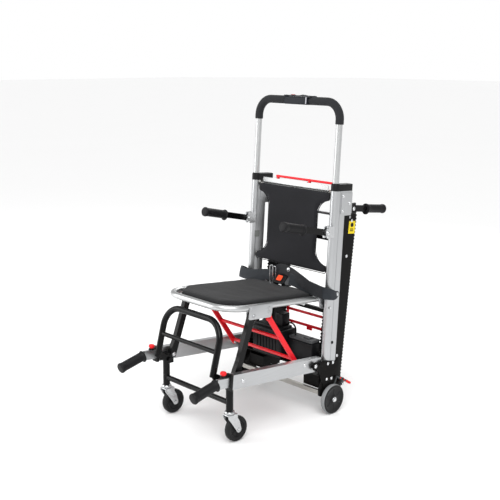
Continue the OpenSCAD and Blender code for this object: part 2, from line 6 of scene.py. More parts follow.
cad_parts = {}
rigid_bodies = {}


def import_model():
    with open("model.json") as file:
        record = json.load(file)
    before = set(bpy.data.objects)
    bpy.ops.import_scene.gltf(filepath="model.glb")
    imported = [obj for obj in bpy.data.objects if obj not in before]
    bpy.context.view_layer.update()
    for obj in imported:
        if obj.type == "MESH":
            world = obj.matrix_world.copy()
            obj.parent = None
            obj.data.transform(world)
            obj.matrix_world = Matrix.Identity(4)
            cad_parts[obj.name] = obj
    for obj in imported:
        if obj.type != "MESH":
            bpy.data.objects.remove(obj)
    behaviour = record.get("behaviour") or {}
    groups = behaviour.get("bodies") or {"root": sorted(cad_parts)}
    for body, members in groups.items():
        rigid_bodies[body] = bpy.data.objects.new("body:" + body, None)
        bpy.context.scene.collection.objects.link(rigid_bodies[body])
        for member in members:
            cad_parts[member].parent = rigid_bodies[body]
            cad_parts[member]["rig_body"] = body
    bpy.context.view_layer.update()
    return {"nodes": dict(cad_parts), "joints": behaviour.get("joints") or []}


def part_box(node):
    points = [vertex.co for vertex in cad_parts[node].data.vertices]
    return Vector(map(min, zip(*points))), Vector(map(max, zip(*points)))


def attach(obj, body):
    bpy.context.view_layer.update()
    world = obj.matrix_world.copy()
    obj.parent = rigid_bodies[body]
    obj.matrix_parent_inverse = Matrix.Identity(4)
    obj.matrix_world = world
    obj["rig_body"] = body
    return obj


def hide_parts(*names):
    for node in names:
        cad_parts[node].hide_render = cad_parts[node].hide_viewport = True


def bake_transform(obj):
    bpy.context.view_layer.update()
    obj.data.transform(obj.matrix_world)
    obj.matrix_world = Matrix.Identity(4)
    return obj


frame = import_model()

mm = 0.001
joints = {j["name"]: j for j in frame["joints"]}
nodes = frame["nodes"]


def pivot(name):
    return Vector(joints[name]["pos_m"])


def axisOf(name):
    return Vector(joints[name]["axis"])


# where the camera stands, how it turns, and its lens in mm
view = {"azimuth": 46.71, "elevation": 12.07, "roll": 0.24, "lens": 64.63,
        "place": (2.539, -2.43577, 1.432), "shiftX": 0.0042, "shiftY": -0.0051}


def addCamera():
    a, e, r = radians(view["azimuth"]), radians(view["elevation"]), radians(view["roll"])
    back = Vector((sin(a) * cos(e), -cos(a) * cos(e), sin(e)))
    right = Vector((cos(a), sin(a), 0))
    up = back.cross(right)
    turn = Matrix((right, up, back)).transposed().to_4x4() @ Matrix.Rotation(r, 4, "Z")
    bpy.ops.object.camera_add(location=view["place"])
    camera = bpy.context.object
    camera.matrix_world = Matrix.Translation(view["place"]) @ turn
    camera.data.lens = view["lens"]
    camera.data.sensor_width = 36
    camera.data.shift_x = view["shiftX"]
    camera.data.shift_y = view["shiftY"]
    camera.data.clip_end = 60
    bpy.context.scene.camera = camera


addCamera()
print("camera is set")


# modelling helpers: startPoint and pickFaces leave the piece in edit mode, the others in object mode
def deselectAll():
    bpy.ops.object.select_all(action="DESELECT")


def newPiece(name):
    piece = bpy.context.object
    piece.name = name
    piece.data.name = name
    return piece


def useOnly(piece):
    deselectAll()
    piece.select_set(True)
    bpy.context.view_layer.objects.active = piece


def settle(piece, matrix=None):
    if matrix is not None:
        piece.matrix_world = matrix @ piece.matrix_world
    useOnly(piece)
    bpy.ops.object.transform_apply(location=True, rotation=True, scale=True)
    if matrix is not None and matrix.determinant() < 0:
        flipFaces(piece)
    return piece


def flipFaces(piece):
    useOnly(piece)
    bpy.ops.object.mode_set(mode="EDIT")
    bpy.ops.mesh.select_all(action="SELECT")
    bpy.ops.mesh.normals_make_consistent(inside=False)
    bpy.ops.object.mode_set(mode="OBJECT")


def applyModifier(piece, kind, **values):
    useOnly(piece)
    modifier = piece.modifiers.new(kind.lower(), kind)
    for key, value in values.items():
        setattr(modifier, key, value)
    bpy.ops.object.modifier_apply(modifier=modifier.name)


def soften(piece, width, segments=3, angle=30):
    applyModifier(piece, "BEVEL", width=width, segments=segments, limit_method="ANGLE",
                  angle_limit=radians(angle), use_clamp_overlap=True)
    smooth(piece)


def smooth(piece, angle=40):
    useOnly(piece)
    bpy.ops.object.shade_smooth_by_angle(angle=radians(angle))


def copyOf(piece, name, matrix):
    useOnly(piece)
    bpy.ops.object.duplicate(linked=False)
    return settle(newPiece(name), matrix)


def joined(name, pieces):
    deselectAll()
    for piece in pieces:
        piece.select_set(True)
    bpy.context.view_layer.objects.active = pieces[0]
    bpy.ops.object.join()
    return newPiece(name)


def startPoint(name, place):
    deselectAll()
    bpy.ops.mesh.primitive_plane_add(size=0.002, location=place)
    piece = settle(newPiece(name))
    bpy.ops.object.mode_set(mode="EDIT")
    bpy.ops.mesh.select_all(action="SELECT")
    bpy.ops.mesh.merge(type="CENTER")
    return piece


def runAlong(points):
    for before, after in zip(points, points[1:]):
        step = Vector(after) - Vector(before)
        bpy.ops.mesh.extrude_vertices_move(TRANSFORM_OT_translate={"value": step})


# a round piece about Z, from an outline of (radius, height) points
def turnedPiece(name, outline, steps=64, edge=0.0):
    points = [(r, 0, h) for r, h in outline]
    piece = startPoint(name, points[0])
    runAlong(points)
    bpy.ops.mesh.select_all(action="SELECT")
    bpy.ops.mesh.spin(steps=steps, angle=2 * pi, center=(0, 0, 0), axis=(0, 0, 1))
    bpy.ops.mesh.select_all(action="SELECT")
    bpy.ops.mesh.remove_doubles(threshold=1e-6)
    bpy.ops.mesh.normals_make_consistent(inside=False)
    bpy.ops.object.mode_set(mode="OBJECT")
    if edge:
        soften(piece, edge, 2)
    smooth(piece)
    return piece


# a plate in the XY plane, from its outline, with its thickness along Z
def platePiece(name, outline, thickness, edge=0.0, segments=2):
    points = [(x, y, 0) for x, y in outline]
    piece = startPoint(name, points[0])
    runAlong(points)
    bpy.ops.mesh.select_all(action="SELECT")
    bpy.ops.mesh.edge_face_add()
    bpy.ops.mesh.extrude_region_move(TRANSFORM_OT_translate={"value": (0, 0, thickness)})
    bpy.ops.mesh.select_all(action="SELECT")
    bpy.ops.mesh.normals_make_consistent(inside=False)
    bpy.ops.object.mode_set(mode="OBJECT")
    if edge:
        soften(piece, edge, segments)
    return piece


def blockPiece(name, low, high, edge=0.0, segments=3):
    low, high = Vector(low), Vector(high)
    deselectAll()
    bpy.ops.mesh.primitive_cube_add(size=1, location=(low + high) / 2)
    piece = newPiece(name)
    piece.scale = high - low
    settle(piece)
    if edge:
        soften(piece, edge, segments)
    return piece


# picks the faces of a piece that look along a direction, in edit mode
def pickFaces(piece, direction, limit=0.9):
    bpy.ops.object.mode_set(mode="EDIT")
    bpy.ops.mesh.select_all(action="DESELECT")
    bpy.ops.object.mode_set(mode="OBJECT")
    d = Vector(direction)
    for polygon in piece.data.polygons:
        polygon.select = polygon.normal.dot(d) > limit
    bpy.ops.object.mode_set(mode="EDIT")


# sinks the top of a plate inside a rim
def recessTop(piece, margin, deep):
    pickFaces(piece, (0, 0, 1))
    bpy.ops.mesh.inset(thickness=margin, depth=0)
    bpy.ops.mesh.extrude_region_move(TRANSFORM_OT_translate={"value": (0, 0, -deep)})
    bpy.ops.object.mode_set(mode="OBJECT")


# rounds the edge of a plate's top
def roundTop(piece, width):
    pickFaces(piece, (0, 0, 1))
    bpy.ops.mesh.bevel(offset=width, segments=4, affect="EDGES")
    bpy.ops.object.mode_set(mode="OBJECT")
    smooth(piece)


def arcPoints(centre, radius, start, end, count):
    turns = [radians(start + (end - start) * i / count) for i in range(count + 1)]
    return [(centre[0] + radius * cos(turn), centre[1] + radius * sin(turn)) for turn in turns]


# outline of a rectangle with round corners, centred on the origin
def roundOutline(width, height, radius, count=6):
    w, h = width / 2 - radius, height / 2 - radius
    corners = (((w, h), 0), ((-w, h), 90), ((-w, -h), 180), ((w, -h), 270))
    return [p for c, a in corners for p in arcPoints(c, radius, a, a + 90, count)]


def planeAt(origin, zAxis, xAxis=(1, 0, 0)):
    z = Vector(zAxis).normalized()
    x = Vector(xAxis).normalized()
    y = z.cross(x).normalized()
    x = y.cross(z)
    return Matrix.Translation(origin) @ Matrix((x, y, z)).transposed().to_4x4()


mirrorX = Matrix.Scale(-1, 4, (1, 0, 0))
sides = (("left", 1), ("right", -1))

# local planes that lie along the seat, the rails and the tracks
railAxis = axisOf("front_handle_left_slide")          # forwards along the rail
seatUp = Vector((0, railAxis.z, -railAxis.y))
seatFrame = planeAt(pivot("seat_fold"), seatUp)
railFrame = planeAt(pivot("rail_fold"), seatUp)
trackAxis = (pivot("idler_spin") - pivot("drive_spin")).normalized()
trackFrame = planeAt(pivot("drive_spin"), trackAxis)
uprightX = pivot("armrest_left_fold").x


# a shader group with its named inputs and outputs
def addGroup(name, inputs, outputs):
    group = bpy.data.node_groups.new(name, "ShaderNodeTree")
    for label, kind, value in inputs:
        socket = group.interface.new_socket(name=label, in_out="INPUT", socket_type=kind)
        if value is not None:
            socket.default_value = value
    for label, kind in outputs:
        group.interface.new_socket(name=label, in_out="OUTPUT", socket_type=kind)
    start = group.nodes.new("NodeGroupInput")
    end = group.nodes.new("NodeGroupOutput")
    return group, start, end


def mathNode(tree, operation, a, b=None):
    node = tree.nodes.new("ShaderNodeMath")
    node.operation = operation
    for socket, value in zip(node.inputs, (a, b)):
        if value is None:
            continue
        if isinstance(value, (int, float)):
            socket.default_value = value
        else:
            tree.links.new(value, socket)
    return node.outputs[0]


def noiseNode(tree, vector, scale, detail=3.0, roughness=0.5):
    node = tree.nodes.new("ShaderNodeTexNoise")
    node.inputs["Detail"].default_value = detail
    node.inputs["Roughness"].default_value = roughness
    tree.links.new(vector, node.inputs["Vector"])
    if isinstance(scale, (int, float)):
        node.inputs["Scale"].default_value = scale
    else:
        tree.links.new(scale, node.inputs["Scale"])
    return node.outputs["Fac"]


def mapRange(tree, value, low, high, to0=0.0, to1=1.0):
    node = tree.nodes.new("ShaderNodeMapRange")
    tree.links.new(value, node.inputs["Value"])
    for label, amount in (("From Min", low), ("From Max", high), ("To Min", to0), ("To Max", to1)):
        if isinstance(amount, (int, float)):
            node.inputs[label].default_value = amount
        else:
            tree.links.new(amount, node.inputs[label])
    return node.outputs["Result"]


# cloudy handling marks with a few fine scuffs, from 0 to 1
def buildHandling():
    inputs = (("Vector", "NodeSocketVector", None), ("Scale", "NodeSocketFloat", 6.0))
    outputs = (("Cloud", "NodeSocketFloat"), ("Scuff", "NodeSocketFloat"))
    group, start, end = addGroup("handling marks", inputs, outputs)
    vector, scale = start.outputs["Vector"], start.outputs["Scale"]
    cloud = noiseNode(group, vector, scale, 4.0, 0.55)
    fine = noiseNode(group, vector, mathNode(group, "MULTIPLY", scale, 14.0), 5.0, 0.7)
    scuff = mapRange(group, mathNode(group, "MULTIPLY", cloud, fine), 0.34, 0.46)
    group.links.new(cloud, end.inputs["Cloud"])
    group.links.new(scuff, end.inputs["Scuff"])
    return group


# over and under threads along two directions
def buildWeave():
    inputs = (("Across", "NodeSocketFloat", 0.0), ("Along", "NodeSocketFloat", 0.0),
              ("Threads", "NodeSocketFloat", 700.0))
    group, start, end = addGroup("weave", inputs, (("Height", "NodeSocketFloat"),))
    threads = start.outputs["Threads"]
    u = mathNode(group, "MULTIPLY", start.outputs["Across"], threads)
    v = mathNode(group, "MULTIPLY", start.outputs["Along"], threads)
    sinU = mathNode(group, "SINE", mathNode(group, "MULTIPLY", u, pi))
    sinV = mathNode(group, "SINE", mathNode(group, "MULTIPLY", v, pi))
    over = mathNode(group, "MULTIPLY", sinU, sinV)
    group.links.new(mapRange(group, over, -1.0, 1.0), end.inputs["Height"])
    return group


handlingGroup = buildHandling()
weaveGroup = buildWeave()


# starts a material, and gives its tree, its shader and the piece's own coordinates
def startMaterial(name, colour, roughness, metallic=0.0, coat=0.0, sheen=0.0, specular=0.5):
    material = bpy.data.materials.new(name)
    material.use_nodes = True
    tree = material.node_tree
    tree.nodes.clear()
    shader = tree.nodes.new("ShaderNodeBsdfPrincipled")
    output = tree.nodes.new("ShaderNodeOutputMaterial")
    tree.links.new(shader.outputs["BSDF"], output.inputs["Surface"])
    shader.inputs["Base Color"].default_value = (*colour, 1)
    shader.inputs["Roughness"].default_value = roughness
    shader.inputs["Metallic"].default_value = metallic
    shader.inputs["Coat Weight"].default_value = coat
    shader.inputs["Coat Roughness"].default_value = 0.12
    shader.inputs["Sheen Weight"].default_value = sheen
    shader.inputs["Specular IOR Level"].default_value = specular
    coordinates = tree.nodes.new("ShaderNodeTexCoord")
    return material, tree, shader, coordinates.outputs["Object"]


# lays one colour over another by a mask, as the base colour
def paint(tree, shader, mask, under, over):
    tree.links.new(mixColour(tree, mask, under, over), shader.inputs["Base Color"])


def stretched(tree, vector, scale):
    node = tree.nodes.new("ShaderNodeMapping")
    node.inputs["Scale"].default_value = scale
    tree.links.new(vector, node.inputs["Vector"])
    return node.outputs["Vector"]


def marks(tree, vector, scale):
    node = tree.nodes.new("ShaderNodeGroup")
    node.node_tree = handlingGroup
    node.inputs["Scale"].default_value = scale
    tree.links.new(vector, node.inputs["Vector"])
    return node.outputs["Cloud"], node.outputs["Scuff"]


def mixColour(tree, mask, a, b):
    node = tree.nodes.new("ShaderNodeMix")
    node.data_type = "RGBA"
    tree.links.new(mask, node.inputs["Factor"])
    for label, value in ((6, a), (7, b)):
        if isinstance(value, tuple):
            node.inputs[label].default_value = (*value, 1)
        else:
            tree.links.new(value, node.inputs[label])
    return node.outputs[2]


def bump(tree, shader, height, strength, distance):
    node = tree.nodes.new("ShaderNodeBump")
    node.inputs["Strength"].default_value = strength
    node.inputs["Distance"].default_value = distance
    tree.links.new(height, node.inputs["Height"])
    tree.links.new(node.outputs["Normal"], shader.inputs["Normal"])


# metal with fine drawn lines along one direction
def drawnMetal(name, colour, roughness, lines, markScale=5.0):
    material, tree, shader, place = startMaterial(name, colour, roughness, metallic=1.0)
    cloud = marks(tree, place, markScale)[0]
    grain = noiseNode(tree, stretched(tree, place, lines), 1.0, 4.0, 0.6)
    dull = tuple(c * 0.86 for c in colour)
    paint(tree, shader, mapRange(tree, grain, 0.3, 0.7), dull, colour)
    rough = mathNode(tree, "ADD", mapRange(tree, cloud, 0.3, 0.7, roughness - 0.05, roughness + 0.05),
                     mapRange(tree, grain, 0.2, 0.8, -0.05, 0.05))
    tree.links.new(rough, shader.inputs["Roughness"])
    bump(tree, shader, grain, 0.10, 0.0004)
    return material


# how powder coat with orange peel and moulded plastic with a spark-eroded grain differ
surfaceKinds = {"powder": {"marks": 7.0, "gain": 1.25, "lift": 0.006, "scuffs": 0.5, "gloss": 0.06,
                           "dull": 0.08, "grainRoughness": 0.5, "depth": 0.0005},
                "moulded": {"marks": 9.0, "gain": 1.3, "lift": 0.005, "scuffs": 0.4, "gloss": 0.05,
                            "dull": 0.07, "grainRoughness": 0.6, "depth": 0.0002}}


# a surface with a fine grain, uneven gloss and faint rubbed places
def grainedSurface(kind, name, colour, roughness, grain, strength, coat, specular):
    k = surfaceKinds[kind]
    material, tree, shader, place = startMaterial(name, colour, roughness, coat=coat, specular=specular)
    cloud, scuff = marks(tree, place, k["marks"])
    worn = tuple(min(1.0, c * k["gain"] + k["lift"]) for c in colour)
    paint(tree, shader, mathNode(tree, "MULTIPLY", scuff, k["scuffs"]), colour, worn)
    rough = mapRange(tree, cloud, 0.3, 0.7, roughness - k["gloss"], roughness + k["dull"])
    tree.links.new(rough, shader.inputs["Roughness"])
    bump(tree, shader, noiseNode(tree, place, grain, 2.0, k["grainRoughness"]), strength, k["depth"])
    return material


def powderCoat(name, colour, roughness, coat=0.0, specular=0.25):
    return grainedSurface("powder", name, colour, roughness, 420.0, 0.12, coat, specular)


def mouldedPlastic(name, colour, roughness=0.5, grain=1500.0, strength=0.25, coat=0.0):
    return grainedSurface("moulded", name, colour, roughness, grain, strength, coat, 0.18)


# closed-cell foam with an open-pored skin, whose pores are painted darker as painted shade
def foamSkin(name, colour):
    material, tree, shader, place = startMaterial(name, colour, 0.85, sheen=0.06, specular=0.2)
    cells = tree.nodes.new("ShaderNodeTexVoronoi")
    cells.inputs["Scale"].default_value = 520.0
    tree.links.new(place, cells.inputs["Vector"])
    pores = mapRange(tree, cells.outputs["Distance"], 0.0, 0.5)
    # painted shade: the hollows of the pores are darkened in the colour, where less light falls
    dark = tuple(c * 0.7 for c in colour)
    paint(tree, shader, pores, dark, colour)
    bump(tree, shader, pores, 0.35, 0.0006)
    return material


# the weave group, read along two coordinates of a vector
def weaveHeight(tree, vector, first, second, threads):
    split = tree.nodes.new("ShaderNodeSeparateXYZ")
    tree.links.new(vector, split.inputs[0])
    node = tree.nodes.new("ShaderNodeGroup")
    node.node_tree = weaveGroup
    node.inputs["Threads"].default_value = threads
    tree.links.new(split.outputs[first], node.inputs["Across"])
    tree.links.new(split.outputs[second], node.inputs["Along"])
    return node.outputs["Height"]


def wovenCloth(name, colour, lift, first, second, threads):
    material, tree, shader, place = startMaterial(name, colour, 0.82, sheen=0.08, specular=0.15)
    height = weaveHeight(tree, place, first, second, threads)
    cloud = marks(tree, place, 8.0)[0]
    cloth = mixColour(tree, height, colour, lift)
    paint(tree, shader, mapRange(tree, cloud, 0.35, 0.75, 0.0, 0.35), cloth, tuple(c * 1.5 for c in lift))
    bump(tree, shader, height, 0.35, 0.0004)
    return material


# webbing whose ribs follow its own UV map
def webbingCloth(name, colour, ribs):
    material, tree, shader = startMaterial(name, colour, 0.62, sheen=0.10, specular=0.2)[:3]
    uv = tree.nodes.new("ShaderNodeUVMap")
    uv.uv_map = "strapMap"
    height = weaveHeight(tree, uv.outputs["UV"], "X", "Y", ribs)
    paint(tree, shader, height, colour, tuple(c * 2.2 + 0.004 for c in colour))
    bump(tree, shader, height, 0.5, 0.0005)
    return material


def floorSurface(name, colour):
    material, tree, shader, place = startMaterial(name, colour, 0.75, specular=0.2)
    cloud = marks(tree, place, 0.8)[0]
    paint(tree, shader, cloud, tuple(c * 0.985 for c in colour), colour)
    return material


# grain along each axis
alongZ = (900.0, 900.0, 6.0)
alongY = (900.0, 9.0, 900.0)
alongX = (6.0, 900.0, 900.0)
aluminiumUpright = drawnMetal("satin aluminium, upright grain", (0.56, 0.57, 0.58), 0.38, alongZ)
aluminiumRail = drawnMetal("satin aluminium, rail grain", (0.55, 0.56, 0.57), 0.40, alongY)
aluminiumTube = drawnMetal("satin aluminium tube", (0.64, 0.65, 0.65), 0.38, alongZ)
aluminiumCross = drawnMetal("aluminium cross bar", (0.52, 0.51, 0.48), 0.36, alongX)
zincPlate = drawnMetal("bright zinc plate", (0.62, 0.63, 0.64), 0.26, (60.0, 60.0, 60.0), 20.0)
boltSteel = drawnMetal("bolt steel", (0.80, 0.81, 0.82), 0.20, (300.0, 300.0, 300.0), 30.0)
shaftSteel = drawnMetal("shaft steel", (0.45, 0.46, 0.47), 0.35, alongX)
blackCoat = powderCoat("gloss black paint", (0.0030, 0.0030, 0.0033), 0.24, specular=0.18)
blackPlateCoat = powderCoat("black plate coat", (0.0034, 0.0030, 0.0028), 0.40, specular=0.10)
redCoat = powderCoat("red powder coat", (0.83, 0.010, 0.020), 0.36, coat=0.08)
redTip = mouldedPlastic("red pedal plastic", (0.72, 0.03, 0.025), 0.42)
blackPlastic = mouldedPlastic("black moulded plastic", (0.007, 0.007, 0.0075), 0.44)
casePlastic = mouldedPlastic("dark case plastic", (0.008, 0.008, 0.009), 0.38, 900.0, 0.35)
greyPlastic = mouldedPlastic("dark grey plastic", (0.065, 0.067, 0.07), 0.5)
stripPlastic = mouldedPlastic("light grey strip", (0.42, 0.42, 0.45), 0.4)
armPlastic = mouldedPlastic("grey brake arm", (0.055, 0.060, 0.062), 0.45)
capPlastic = mouldedPlastic("black cap plastic", (0.009, 0.009, 0.0095), 0.40)
controlPlastic = mouldedPlastic("control box plastic", (0.006, 0.008, 0.012), 0.36)
redPlastic = mouldedPlastic("red gloss plastic", (0.80, 0.015, 0.02), 0.30, coat=0.15)
orangePlastic = mouldedPlastic("orange-red button plastic", (0.95, 0.085, 0.02), 0.38, coat=0.1)
gripRubber = mouldedPlastic("black grip rubber", (0.009, 0.009, 0.010), 0.50, 1100.0, 0.5)
tyreRubber = mouldedPlastic("black tyre rubber", (0.013, 0.013, 0.0135), 0.55, 700.0, 0.4)
treadRubber = mouldedPlastic("grey tread rubber", (0.23, 0.235, 0.24), 0.66, 700.0, 0.4)
hubPlastic = mouldedPlastic("wheel hub plastic", (0.010, 0.010, 0.0105), 0.40)
beltRubber = mouldedPlastic("track belt rubber", (0.007, 0.007, 0.007), 0.66, 600.0, 0.6)
foamRubber = foamSkin("dark grey foam", (0.020, 0.021, 0.023))
seatCloth = wovenCloth("charcoal seat cloth", (0.010, 0.010, 0.011), (0.030, 0.030, 0.031), "X", "Y", 760.0)
backCloth = wovenCloth("black back cloth", (0.006, 0.006, 0.007), (0.015, 0.015, 0.018), "X", "Z", 760.0)
padStrapCloth = webbingCloth("slate padded strap", (0.011, 0.013, 0.016), 520.0)
beltCloth = webbingCloth("black belt webbing", (0.006, 0.0065, 0.008), 460.0)
edgeVinyl = mouldedPlastic("black edge vinyl", (0.010, 0.010, 0.011), 0.5, 1300.0, 0.35)
labelFilm = mouldedPlastic("yellow label film", (0.86, 0.66, 0.02), 0.35, 300.0, 0.05)
patchFilm = mouldedPlastic("grey blank film", (0.20, 0.21, 0.20), 0.45, 300.0, 0.05)
labelInk = mouldedPlastic("black label ink", (0.01, 0.01, 0.01), 0.5, 300.0, 0.05)
floorPaint = floorSurface("pale floor", (0.93, 0.93, 0.93))
print("materials are built")


def finishWith(piece, material, body):
    piece.data.materials.clear()
    piece.data.materials.append(material)
    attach(piece, body)
    return piece


cadFinishes = (
    (aluminiumUpright, ("upright_left", "upright_right", "upright_rear_boxes")),
    (aluminiumTube, ("push_handle_tube", "seat_frame")),
    (aluminiumRail, ("side_rails", "seat_brackets", "front_handle_bar_left", "front_handle_bar_right")),
    (aluminiumCross, ("back_crossbars", "ribbed_crossbar")),
    (zincPlate, ("armrest_brackets", "caster_fork_left", "caster_fork_right")),
    (boltSteel, ("frame_fasteners", "rail_pivots")),
    (shaftSteel, ("drive_shaft", "idler_rollers")),
    (blackCoat, ("armrest_bar_left", "armrest_bar_right", "rear_handle_bar_left", "rear_handle_bar_right",
                 "front_legs", "footrest_frame", "rear_handle_brackets")),
    (blackPlateCoat, ("rear_plates", "base_brackets", "track_frame")),
    (redCoat, ("red_brace", "track_pedal", "release_bar", "brake_left", "brake_right")),
    (capPlastic, ("upright_caps", "rail_endcaps")),
    (casePlastic, ("motor_housing", "battery_box")),
    (controlPlastic, ("control_box",)),
    (blackPlastic, ("belt_buckle", "motor_cable")),
    (greyPlastic, ("direction_switch",)),
    (redPlastic, ("power_button", "handle_knob_left", "handle_knob_right")),
    (orangePlastic, ("buckle_button",)),
    (foamRubber, ("push_handle_foam",)),
    (gripRubber, tuple(f"{kind}_grip_{side}" for kind in ("armrest", "rear_handle", "front_handle")
                       for side in ("left", "right"))),
    (tyreRubber, ("caster_wheel_left", "caster_wheel_right")),
    (hubPlastic, ("rear_wheel_left", "rear_wheel_right")),
    (seatCloth, ("seat_pad",)),
    (backCloth, ("back_panel",)),
    (beltCloth, ("seat_belt",)),
    (beltRubber, ("track_belts",)),
)
for material, names in cadFinishes:
    for name in names:
        nodes[name].data.materials.clear()
        nodes[name].data.materials.append(material)
print("the frame has its finishes")


# outline of a regular polygon
def ringPoints(count, radius):
    turns = [2 * pi * i / count for i in range(count)]
    return [(radius * cos(turn), radius * sin(turn)) for turn in turns]


def degreesOf(p, q):
    return atan2(q[1] - p[1], q[0] - p[0]) * 180 / pi


# outline of a bar with round ends, from p to q
def capsule(p, q, width):
    along = degreesOf(p, q)
    return (arcPoints(q, width / 2, along - 90, along + 90, 8)
            + arcPoints(p, width / 2, along + 90, along + 270, 8))


# the plane of a plate that stands across X: local x is world Y, local y is world Z
def acrossX(x, y=0.0, z=0.0):
    return Matrix(((0, 0, 1, x), (1, 0, 0, y), (0, 1, 0, z), (0, 0, 0, 1)))


# a plane at a place, whose Z looks along a direction
def towards(place, direction):
    d = Vector(direction)
    side = Vector((0, 0, 1)) if abs(d.x) > 0.9 else Vector((1, 0, 0))
    return planeAt(place, d, side)


# bolts and nuts are modelled once and copied
hardware = {"hexRise": 0.62, "washer": 0.0012}


def domeBolt(name, radius, height):
    r, h = radius, height
    w = hardware["washer"]
    return turnedPiece(name, [(0, 0), (r * 1.22, 0), (r * 1.22, w), (r, w), (r, w + (h - w) * 0.35),
                              (r * 0.86, w + (h - w) * 0.75), (r * 0.55, h), (r * 0.42, h),
                              (r * 0.36, h - (h - w) * 0.5), (0, h - (h - w) * 0.5)], 32)


def hexNut(name, radius, height):
    nut = platePiece(name, ringPoints(6, radius), height * hardware["hexRise"] + hardware["washer"], 0.0006)
    w = hardware["washer"]
    cap = turnedPiece(name + "Cap", [(0, 0), (radius * 1.15, 0), (radius * 1.15, w), (radius * 0.8, w),
                                     (radius * 0.8, height * 0.62), (radius * 0.74, height * 0.82),
                                     (radius * 0.5, height * 0.96), (0, height)], 32)
    return joined(name, [nut, cap])


models = {"small": domeBolt("boltSmall", 0.0052, 0.0032), "medium": domeBolt("boltMedium", 0.0066, 0.0042),
          "nut": hexNut("axleNut", 0.0088, 0.0060), "rivet": domeBolt("rivet", 0.0034, 0.0020)}


# one piece from many bolts, each a model's name, a place and the way it looks
def bolts(name, places, material, body, replaced=()):
    copies = [copyOf(models[kind], name + str(i), towards(place, direction))
              for i, (kind, place, direction) in enumerate(places)]
    piece = joined(name, copies)
    smooth(piece)
    finishWith(piece, material, body)
    if replaced:
        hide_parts(*replaced)
    return piece


def dropModels():
    for model in models.values():
        bpy.data.objects.remove(model)


# the plane of the leaning back frame, and the pivots that pieces hang on
leanUp = axisOf("push_handle_slide")
leanBack = Vector((0, leanUp.z, -leanUp.y))
hinge = {"back": 0.0175, "up": 0.424}          # release bar hinge, from the foot of the back frame
leanFrame = planeAt(pivot("release_pull") - leanBack * hinge["back"] - leanUp * hinge["up"], leanUp)
barHeight = (leanFrame.inverted() @ pivot("direction_rocker")).z - 0.0172
armTurn = pivot("armrest_left_fold")
rearTurn = pivot("rear_handle_left_fold")
seatPivot = pivot("seat_fold")
railPivot = pivot("rail_fold")
legPivot = pivot("leg_fold")
bracePivot = pivot("brace_fold")
wheelAxle = pivot("rear_wheel_left_spin")
brakeTurn = pivot("brake_left_press")
swivel = pivot("caster_left_swivel")
casterAxle = pivot("caster_wheel_left_spin")


def beside(side, x, y, z):
    return Vector((side * x, y, z))


# how far out the faces stand that bolts and pins sit on, and where the plain ones are
boltFaces = {"upright": 0.242, "uprightInner": 0.208, "turnHalf": 0.015, "belt": 0.2447, "rearBox": 0.019,
             "wheelPlate": 0.246, "axleEnd": 0.270, "brake": 0.2635, "rail": 0.233, "legInner": 0.178,
             "braceInner": 0.176, "track": 0.2025, "trackInner": 0.142, "foot": 0.201, "spacer": 0.2335,
             "pin": 0.1845}
boltPlaces = {"belt": (0.0375, 0.0506), "rearBox": ((0.030, 0.334), (0.030, 0.393), (0.070, 0.3635)),
              "wheelPlate": ((-0.0168, 0.1515), (0.0132, 0.1495), (-0.0228, 0.0865), (0.0062, 0.0835)),
              "track": ((0.004, 0.089), (0.001, 0.508), (0.012, 0.655)), "plug": (0.0184, -0.2033)}


